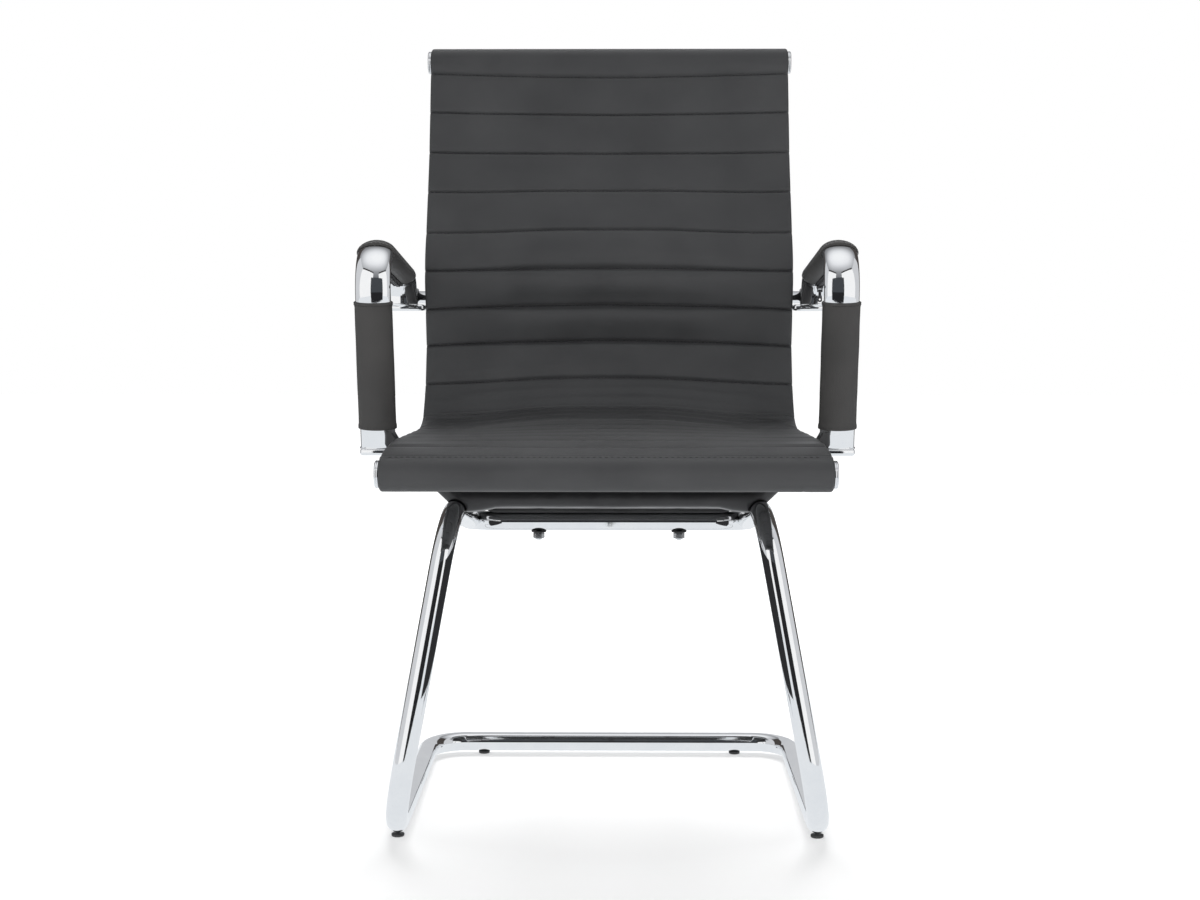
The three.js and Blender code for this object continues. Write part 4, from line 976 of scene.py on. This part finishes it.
def make_cover(name, side):
    width = ARM_TUBE_WIDTH + COVER_SIDE * 2
    thickness = ARM_TUBE_THICKNESS + COVER_WALL * 2

    def outer_at(distance):
        off_end = min(distance - COVER_START, COVER_END - distance)
        full = ease(off_end / 16)
        groove = 0.55 * hump(off_end - 5, 0.8)
        swell = COVER_SWELL * full + uneven(distance * 0.04, side * 5, 0.4) * 0.25
        narrow = width - 0.9 * (1 - full)
        outline = []
        for a, u in ellipse(narrow, thickness - 2.4 * (1 - full)):
            if u > 0:
                u += swell * (1 - (2 * a / narrow) ** 2)
            seam = 0.5 * hump(u - 1.5, 0.9) * full
            shrink = 1 - (groove + seam) / math.hypot(a, u)
            outline.append((a * shrink, u * shrink))
        return outline

    cover = add_mesh(f"arm_pad_{name}", shell(COVER_START, COVER_END, outer_at, 1.6, side), "arm_leather")
    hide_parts(f"arm_cover_{name}")
    places = (COVER_START + COVER_STITCH_INSET, COVER_END - COVER_STITCH_INSET)
    make_ring_stitches(f"arm_pad_stitches_{name}", places, outer_at, side, COVER_STITCH)


def make_sleeve(name, side):
    start, end = SLEEVE_FOOT_GAP, SLEEVE_FOOT_GAP + SLEEVE_LENGTH
    width = ARM_TUBE_WIDTH + SLEEVE_WALL * 2
    thickness = ARM_TUBE_THICKNESS + SLEEVE_WALL * 2

    def outer_at(distance):
        off_end = min(distance - start, end - distance)
        inside_rim = ease((off_end - 4.2) / 1.2)
        groove = 0.5 * hump(off_end - 5.4, 0.7)
        grow = (uneven(distance * 0.03, side * 3, 1.7) * 0.35 - 0.7) * inside_rim - groove
        outline = ellipse(width, thickness)
        return [(a * (1 + grow / math.hypot(a, u)), u * (1 + grow / math.hypot(a, u))) for a, u in outline]

    sleeve = add_mesh(f"post_wrap_{name}", shell(start, end, outer_at, 1.1, side), "arm_leather")
    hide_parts(f"post_sleeve_{name}")
    places = (start + SLEEVE_STITCH_INSET, end - SLEEVE_STITCH_INSET)
    make_ring_stitches(f"post_wrap_stitches_{name}", places, outer_at, side, SLEEVE_STITCH)


# Brackets and fasteners

def make_rear_brackets(name, side):
    """A slanting clamp in front of the rear post, and the block behind it that holds the stretcher."""
    points, faces = rounded_box(REAR_CLAMP_SIZE, (0, 0, 0), REAR_BRACKET_ROUNDING, 4)
    x, y, z = REAR_CLAMP_PLACE
    clamp = [Vector((side * (x + p.x + p.z * REAR_CLAMP_SLANT), y + p.y, z + p.z)) for p in points]
    x, y, z = REAR_HOLDER_PLACE
    holder = rounded_box(REAR_HOLDER_SIZE, (side * x, y, z), REAR_BRACKET_ROUNDING, 4)
    bracket = add_mesh(f"rear_bracket_{name}", joined([(clamp, faces), holder]), "black_steel", sharp=40)
    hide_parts(f"arm_bracket_rear_{name}")


def make_pads():
    r, h = PAD_RADIUS, PAD_HEIGHT - CLEARANCE
    stud = 2.5
    profile = [
        (r - 1.2, 0), (r - 0.5, 0.15), (r - 0.1, 0.6), (r, 1.2), (r, h - 0.3), (r - 0.3, h),
        (stud, h), (stud, PAD_HEIGHT + 7),
    ]
    for name, side in SIDES:
        for end, x, y in (("front", FLOOR_HALF_WIDTH, FRONT_PAD_Y), ("rear", REAR_PAD_X, FLOOR_REAR_Y)):
            matrix = Matrix.Translation((side * x, y, 0))
            node_name = f"foot_pad_{end}_{name}"
            lathe_piece(f"pad_{end}_{name}", profile, "black_plastic", matrix, node_name, 32)


def mirrored(corners):
    return [(-x, z) for x, z in corners[::-1]]


def bar_sweep(corners, radii, outline, place):
    """A bent bar: an outline of (depth, height) pairs carried along (x, z) corners, each point then placed."""
    course = rounded_course([(x, 0, z) for x, z in corners], radii, 4)
    rings = []
    for i, centre in enumerate(course):
        along = (course[min(i + 1, len(course) - 1)] - course[max(i - 1, 0)]).normalized()
        up = Vector((-along.z, 0, along.x))
        rings.append([place(centre + Vector((0, depth, 0)) + up * height) for depth, height in outline])
    return skin(rings, caps=True)


def clear_of_upper_run(p):
    """The point, or the nearest one outside the frame's upper run where it lies inside."""
    share = (p.y - LEG_TOP.y) / (UPPER_REAR.y - LEG_TOP.y)
    axis = LEG_TOP.lerp(UPPER_REAR, share)
    axis.x = math.copysign(axis.x, p.x)
    away = p - axis
    reach = TUBE_RADIUS * 1.014 + CLEARANCE
    return axis + away.normalized() * reach if away.length < reach else p


def place_on_front(p):
    """The front bar hangs square to the upper runs, levels out at its flanges and swells beside the runs."""
    level = min(max((p.z - FLANGE_LOWER) / (FLANGE_UPPER - FLANGE_LOWER), 0), 1)
    under = min(max((FRONT_BAR_LEVEL[1] - p.z) / (FRONT_BAR_THICKNESS / 2), 0), 1)
    swell = FRONT_BAR_SWELL * under * ease((abs(p.x) - FRONT_BAR_SWELL_X) / FRONT_BAR_SWELL_EASE)
    drop = swell + p.y * UPPER_RUN_SLOPE * (1 - level)
    return clear_of_upper_run(Vector((p.x, FRONT_BAR_Y + p.y, p.z - drop)))


def make_front_bar():
    half = [(FRONT_BAR_LEVEL[0] * k / 12, FRONT_BAR_LEVEL[1]) for k in range(1, 13)] + [FRONT_BAR_END]
    bends = [18] + [0] * (len(half) * 2 - 4) + [18]
    oval = flat_oval(FRONT_BAR_DEPTH, FRONT_BAR_THICKNESS)
    strip = rounded_strip(STRIP_DEPTH, STRIP_THICKNESS, STRIP_ROUNDING)
    shapes = [
        bar_sweep(mirrored(half) + half, bends, oval, place_on_front),
        bar_sweep(FRONT_STRIP, (10, 8), strip, place_on_front),
        bar_sweep(mirrored(FRONT_STRIP), (8, 10), strip, place_on_front),
    ]
    bar = add_mesh("seat_bar_front", joined(shapes), "black_steel", sharp=40)
    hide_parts("seat_bracket_front")


def place_on_rear(p):
    """The rear bar leans forward from the crossbar to its flanges."""
    share = min(max((p.z - REAR_BAR_LOW) / (REAR_BAR_HIGH - REAR_BAR_LOW), 0), 1)
    return Vector((p.x, UPPER_REAR.y + (REAR_FLANGE_Y - UPPER_REAR.y) * share + p.y, p.z))


def make_rear_bar():
    strip = rounded_strip(REAR_BAR_DEPTH, STRIP_THICKNESS, STRIP_ROUNDING)
    shape = bar_sweep([*mirrored(REAR_BAR), *REAR_BAR], (8, 24, 24, 8), strip, place_on_rear)
    bar = add_mesh("seat_bar_rear", shape, "black_steel", sharp=40)
    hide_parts("seat_bracket_rear")


def hex_nut():
    """A hexagonal nut with its corners turned off."""
    flat = NUT_FLATS / 2
    corner = flat / math.cos(math.pi / 6)
    bottom = NUT_TOP - NUT_HEIGHT
    rings = []
    for z, reach in (
        (NUT_TOP, flat * 0.97), (NUT_TOP - NUT_CHAMFER, corner), (bottom + NUT_CHAMFER, corner), (bottom, flat * 0.97),
    ):
        radii = [min(reach, flat if k % 2 else corner) for k in range(12)]
        rings.append([(r * math.cos(a), r * math.sin(a), z) for r, a in zip(radii, turns(12))])
    return skin(rings, caps=True)


def make_frame_bolts():
    washer = [(4.3, 0), (9.6, 0), (10, -0.4), (9.9, -1.2), (9.2, -1.7), (6, -1.9), (5.4, -3), (4.3, -3)]
    head = [
        (4, 0), (6.8, 0), (7, 0.3), (7, 1.1), (6.3, 2.4), (4.9, 3.5), (3.2, 4), (2.6, 4), (2.4, 1.8), (0.3, 1.6),
    ]
    for end, (x, y, z), lean, tilt, seat in FRAME_BOLTS:
        bolt = [(0.3, BOLT_TAIL), (3.3, BOLT_TAIL), (4, BOLT_TAIL + 0.7)] + [(r, seat + h) for r, h in head]
        for side_name, side in SIDES:
            name = f"{end}_{side_name}"
            turned = Matrix.Rotation(tilt, 4, "X") @ Matrix.Rotation(-side * lean, 4, "Y")
            matrix = Matrix.Translation((side * x, y, z)) @ turned
            lathe_piece(f"bolt_{name}", bolt, "steel", matrix, f"frame_bolt_{name}", 40)
            profile = [(r, WASHER_TOP + h) for r, h in washer]
            lathe_piece(f"washer_{name}", profile, "black_plastic", matrix, f"frame_washer_{name}", 48)
            nut = add_mesh(f"nut_{name}", moved(hex_nut(), matrix), "steel", smooth=False)
            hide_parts(f"frame_nut_{name}")


# Zips

def make_zip(name, side):
    """Tape with a woven edge, and two rows of teeth that mesh in the middle."""
    length = ZIP_END - ZIP_START
    steps = int(length / TAPE_STEP)
    outline = [(a, TAPE_TOP - u) for a, u in TAPE_OUTLINE]
    shape = arm_sweep([(ZIP_START + length * k / steps, outline) for k in range(steps + 1)], side, caps=True)
    tape = add_mesh(f"zip_tape_{name}", shape, "zip_tape", smooth=False)
    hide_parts(f"arm_zip_{name}")
    teeth = []
    for k in range(int(length / TOOTH_PITCH * 2)):
        at = ZIP_START + TOOTH_PITCH * (k + 0.5) / 2
        across = TOOTH_OFFSET if k % 2 else -TOOTH_OFFSET
        rings = []
        for up, narrow in ((TAPE_TOP - 0.9, 1), (TAPE_TOP - 2.1, 0.75)):
            wide, long = TOOTH_HALF_WIDTH * narrow, TOOTH_HALF_LENGTH * narrow
            corners = ((-1, -1), (1, -1), (1, 1), (-1, 1))
            rings.append([arm_place(at + d * long, across + a * wide, up, side) for a, d in corners])
        teeth.append(skin(rings, caps=True))
    add_mesh(f"zip_teeth_{name}", joined(teeth), "zip_tape", "zip_metal", smooth=False)


def pull_pivot(name):
    """The middle of the slider's bar, where the record has the pull's joint."""
    joint = next(j for j in frame["record"]["behaviour"]["joints"] if j["name"] == f"{name}_zip_pull")
    return Matrix.Translation(Vector(joint["pos_m"]) / MM + Vector((0, CHAIR_CENTRE_Y, 0)))


def make_slider(name, side):
    """A body that narrows to its ends, and two ears with the bar that the pull hangs on."""
    travel = ZIP_END - ZIP_START - SLIDER_LENGTH - SLIDER_END_GAP * 2
    centre = ZIP_START + SLIDER_LENGTH / 2 + SLIDER_END_GAP + (travel if name == "right" else 0)
    outline = rounded_strip(SLIDER_WIDTH, SLIDER_HEIGHT, 1)
    rings = []
    for k in range(9):
        share = k / 8 * 2 - 1
        narrow = 1 - 0.16 * abs(share) ** 4 - 0.1 * max(share, 0)
        ring = [(a * narrow, SLIDER_TOP - SLIDER_HEIGHT / 2 + u) for a, u in outline]
        rings.append((centre + share * SLIDER_LENGTH / 2, ring))
    shapes = [arm_sweep(rings, side, caps=True)]
    ear_up = SLIDER_TOP - SLIDER_HEIGHT - SLIDER_BAR_DROP + 1.2
    for across in (-2.7, 2.7):
        ear = [(across + a, ear_up + u) for a, u in rounded_strip(1.2, 4.6, 0.4)]
        shapes.append(arm_sweep([(centre + d, ear) for d in (-1.5, -1.2, 1.2, 1.5)], side, caps=True))
    bar = lathe([(0.8, -3.3), (0.8, 3.3)], 20)
    shapes.append(moved(bar, pull_pivot(name) @ Matrix.Rotation(math.pi / 2, 4, "Y")))
    slider = add_mesh(f"slider_{name}", joined(shapes), "zip_metal", body=f"{name}_slider", sharp=35)
    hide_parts(f"zip_slider_{name}")


def make_pull(name):
    """A flat tag with an eye round the slider's bar and a hole near its lower end."""
    corners = [*PULL_OUTLINE, *mirrored(PULL_OUTLINE)]
    edge = []
    for (x1, z1), (x2, z2) in zip(corners, corners[1:] + corners[:1]):
        edge += [(x1 + (x2 - x1) * k / 6, z1 + (z2 - z1) * k / 6) for k in range(6)]

    def round_hole(radius, y):
        angles = [math.atan2(z - PULL_HOLE_Z, x) for x, z in edge]
        return [(radius * math.cos(a), y, PULL_HOLE_Z + radius * math.sin(a)) for a in angles]

    def half_of(y):
        return [
            round_hole(PULL_HOLE_RADIUS, y),
            round_hole(PULL_RIM_RADIUS, y + math.copysign(PULL_RIM_RISE, y)),
            [(x * 0.92, y, PULL_HOLE_Z + (z - PULL_HOLE_Z) * 0.98) for x, z in edge],
            [(x, y * 0.5, z) for x, z in edge],
        ]

    def eye_ring(x, radius):
        return [(x, radius * math.cos(a), radius * math.sin(a)) for a in turns(24)]

    small, large = PULL_EYE_RADII
    eye = [(-PULL_EYE_HALF, small), (-PULL_EYE_HALF, large), (PULL_EYE_HALF, large), (PULL_EYE_HALF, small)]
    shape = joined([
        skin(half_of(-PULL_THICKNESS / 2) + half_of(PULL_THICKNESS / 2)[::-1], closed=True),
        skin([eye_ring(x, radius) for x, radius in eye], closed=True),
    ])
    pull = add_mesh(f"pull_{name}", moved(shape, pull_pivot(name)), "zip_metal", body=f"{name}_pull", sharp=35)
    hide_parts(f"zip_pull_{name}")


# Studio, in metres

WHITE = (1, 1, 1, 1)
FLOOR_SIZE = 14
FLOOR_PLACE = (0, 2, -0.0004)
FLOOR_ALBEDO = 0.55
FLOOR_GLOW = 0.42
FLOOR_REFLECTED = 0.88
FLOOR_BOUNCE = 0.3
# The floor's own glow grows from FLOOR_GLOW to 1 between two distances from a place, counted from the floor's middle.
GLOW_CENTRE = (0, -1.7, 0)
GLOW_NEAR = 0.45
GLOW_FAR = 1.5
AMBIENT = 0.22
# Shades that the chrome sees overhead, from straight down to straight up.
CEILING = (
    (0.0, (0.2, 0.2, 0.21)), (0.5, (0.17, 0.175, 0.185)), (0.72, (0.33, 0.335, 0.35)),
    (0.84, (0.62, 0.63, 0.65)), (0.93, (0.88, 0.89, 0.91)), (0.99, (0.98, 0.99, 1.0)),
)
# What stands round the chair and shows only in the chrome, and a panel of painted shade under the seat: shade, then
# from place to place, low and high.
REFLECTED = (
    ("white_board", (1.0, 1.0, 1.0), (0.5, -2.5), (2.2, -1.1), 0, 3.0),
    ("board_edge", (0.03, 0.028, 0.027), (0.5, -2.5), (2.2, -1.1), 3.0, 3.3),
    ("side_wall", (0.66, 0.67, 0.69), (2.2, -1.1), (2.2, 1.1), 0, 3.1),
    ("rear_drape", (0.07, 0.062, 0.058), (2.2, 1.1), (1.3, 2.85), 0, 2.6),
    ("rear_wall", (0.6, 0.61, 0.63), (1.3, 2.85), (0.0, 3.2), 0, 2.2),
    ("dark_figure", (0.06, 0.065, 0.072), (0.0, -1.15), (0.52, -1.15), 0.5, 1.42),
    ("dark_feet", (0.02, 0.02, 0.022), (0.0, -1.15), (0.52, -1.15), 0, 0.5),
    # A dark panel under the seat: painted shade that stands for the shadowed floor under the seat, as the legs reflect
    # it.
    ("painted_shade_under_seat", (0.028, 0.028, 0.03), (0.002, -0.02), (0.002, 0.45), 0.12, 0.34),
)
# Lamps: place, what they point at, size and power.
LAMPS = (
    ("top_light", (0.0, 1.6, 2.6), (0, 0, 0.4), (2.0, 1.8), 105),
    ("left_light", (-2.6, -1.5, 1.9), (0, 0, 0.5), (1.6, 2.2), 20),
    ("right_light", (2.6, -1.5, 1.9), (0, 0, 0.5), (1.6, 2.2), 20),
    ("front_light", (0, -3.6, 0.75), (0, 0, 0.55), (2.6, 1.2), 118),
)


def stage_panel(name, corners, place, material):
    mesh = bpy.data.meshes.new(name)
    mesh.from_pydata(corners, [], [(0, 1, 2, 3)])
    mesh.materials.append(material)
    panel = bpy.data.objects.new(name, mesh)
    panel.location = place
    bpy.context.scene.collection.objects.link(panel)
    return panel


def mixed(tree, share, first, second):
    """The first shader where share is 0, the second one where it is 1."""
    return node(tree, "MixShader", in_0=share, in_1=first, in_2=second).outputs[0]


def glow(tree, shade, strength=1.0):
    return node(tree, "Emission", Color=(*shade, 1), Strength=strength).outputs[0]


def floor_material():
    """A white floor that still shows the chair's shadow, with looks of its own in reflections and as a light."""
    material, tree, shader = new_material("floor")
    plug(
        tree, shader,
        Base_Color=(0.85, 0.85, 0.85, 1), Roughness=0.9, Emission_Color=WHITE, Emission_Strength=FLOOR_BOUNCE,
    )
    place = node(tree, "TexCoord").outputs["Object"]
    away = node(tree, "VectorMath", {"operation": "DISTANCE"}, in_0=place, in_1=GLOW_CENTRE).outputs["Value"]
    strength = node(
        tree, "MapRange", Value=away, From_Min=GLOW_NEAR, From_Max=GLOW_FAR, To_Min=FLOOR_GLOW, To_Max=1,
    ).outputs["Result"]
    lit = node(tree, "BsdfDiffuse", Color=(FLOOR_ALBEDO, FLOOR_ALBEDO, FLOOR_ALBEDO, 1)).outputs[0]
    seen = node(tree, "AddShader", in_0=lit, in_1=glow(tree, (1, 1, 1), strength)).outputs[0]
    rays = node(tree, "LightPath").outputs
    direct = mixed(tree, rays["Is Camera Ray"], shader.outputs[0], seen)
    shown = mixed(tree, rays["Is Glossy Ray"], direct, glow(tree, (0.94, 0.97, 1), FLOOR_REFLECTED))
    plug(tree, tree.nodes["Material Output"], Surface=shown)
    return material


def make_world():
    """White to the camera, a grey ceiling in reflections, and a plain grey light on everything else."""
    world = bpy.data.worlds.new("studio")
    bpy.context.scene.world = world
    world.use_nodes = True
    tree = world.node_tree
    tree.nodes.clear()
    rays = node(tree, "LightPath").outputs
    place = node(tree, "TexCoord").outputs["Generated"]
    height = node(tree, "SeparateXYZ", in_0=place).outputs["Z"]
    ambient = node(tree, "Background", Color=(0.96, 0.98, 1, 1), Strength=AMBIENT).outputs[0]
    ceiling = node(tree, "Background", Color=ramp(tree, height, *CEILING), Strength=1).outputs[0]
    white = node(tree, "Background", Color=WHITE, Strength=1).outputs[0]
    seen = node(
        tree, "Math", {"operation": "MAXIMUM"}, in_0=rays["Is Camera Ray"], in_1=rays["Is Transmission Ray"],
    ).outputs[0]
    shown = mixed(tree, seen, mixed(tree, rays["Is Glossy Ray"], ambient, ceiling), white)
    node(tree, "OutputWorld", Surface=shown)


def make_reflected(name, shade, start, end, low, high):
    """An upright glowing panel on each side, seen in reflections alone."""
    material, tree, _ = new_material(name)
    plug(tree, tree.nodes["Material Output"], Surface=glow(tree, shade))
    for side_name, side in SIDES:
        (x1, y1), (x2, y2) = ((side * x, y) for x, y in (start, end))
        corners = [(x1, y1, low), (x2, y2, low), (x2, y2, high), (x1, y1, high)]
        panel = stage_panel(f"{name}_{side_name}", corners, (0, -CHAIR_CENTRE_Y * MM, 0), material)
        for rays in ("camera", "diffuse", "shadow", "transmission"):
            setattr(panel, f"visible_{rays}", False)


def make_lamp(name, place, target, size, power):
    data = bpy.data.lights.new(name, "AREA")
    data.shape = "RECTANGLE"
    data.size, data.size_y = size
    data.energy = power
    lamp = bpy.data.objects.new(name, data)
    lamp.location = place
    lamp.rotation_mode = "QUATERNION"
    lamp.rotation_quaternion = (Vector(target) - Vector(place)).to_track_quat("-Z", "Y")
    bpy.context.scene.collection.objects.link(lamp)
    lamp.visible_glossy = False


def make_studio():
    make_world()
    half = FLOOR_SIZE / 2
    corners = [(x * half, y * half, 0) for x, y in ((-1, -1), (1, -1), (1, 1), (-1, 1))]
    stage_panel("floor", corners, FLOOR_PLACE, floor_material())
    for panel in REFLECTED:
        make_reflected(*panel)
    for lamp in LAMPS:
        make_lamp(*lamp)


# Camera, from the photograph: 1200 x 900 pixels
IMAGE_WIDTH = 1200
FOCAL_PIXELS = 1850
SENSOR_MM = 36
CAMERA_PITCH = math.radians(4.91)
CAMERA_YAW = math.radians(0.61)
CAMERA_PLACE = Vector((13.9, -1899 - CHAIR_CENTRE_Y, 630)) * MM


def make_camera():
    data = bpy.data.cameras.new("camera")
    data.sensor_fit = "HORIZONTAL"
    data.sensor_width = SENSOR_MM
    data.lens = FOCAL_PIXELS / IMAGE_WIDTH * SENSOR_MM
    data.clip_start = 0.05
    data.clip_end = 60
    camera = bpy.data.objects.new("camera", data)
    camera.location = CAMERA_PLACE
    camera.rotation_euler = (math.pi / 2 - CAMERA_PITCH, 0, CAMERA_YAW)
    bpy.context.scene.collection.objects.link(camera)
    bpy.context.scene.camera = camera


make_camera()
make_studio()
dress_cad_nodes()
make_sling()
make_sling_stitches()
make_front_topstitch()
make_hem_stitches()
make_sled_frame()
make_caps()
make_stretcher()
make_pads()
for side_name, side_sign in SIDES:
    make_arm_tube(side_name, side_sign)
    make_cover(side_name, side_sign)
    make_sleeve(side_name, side_sign)
    make_zip(side_name, side_sign)
    make_slider(side_name, side_sign)
    make_pull(side_name)
    make_rear_brackets(side_name, side_sign)
make_front_bar()
make_rear_bar()
make_frame_bolts()
bpy.context.scene.view_settings.view_transform = "Standard"
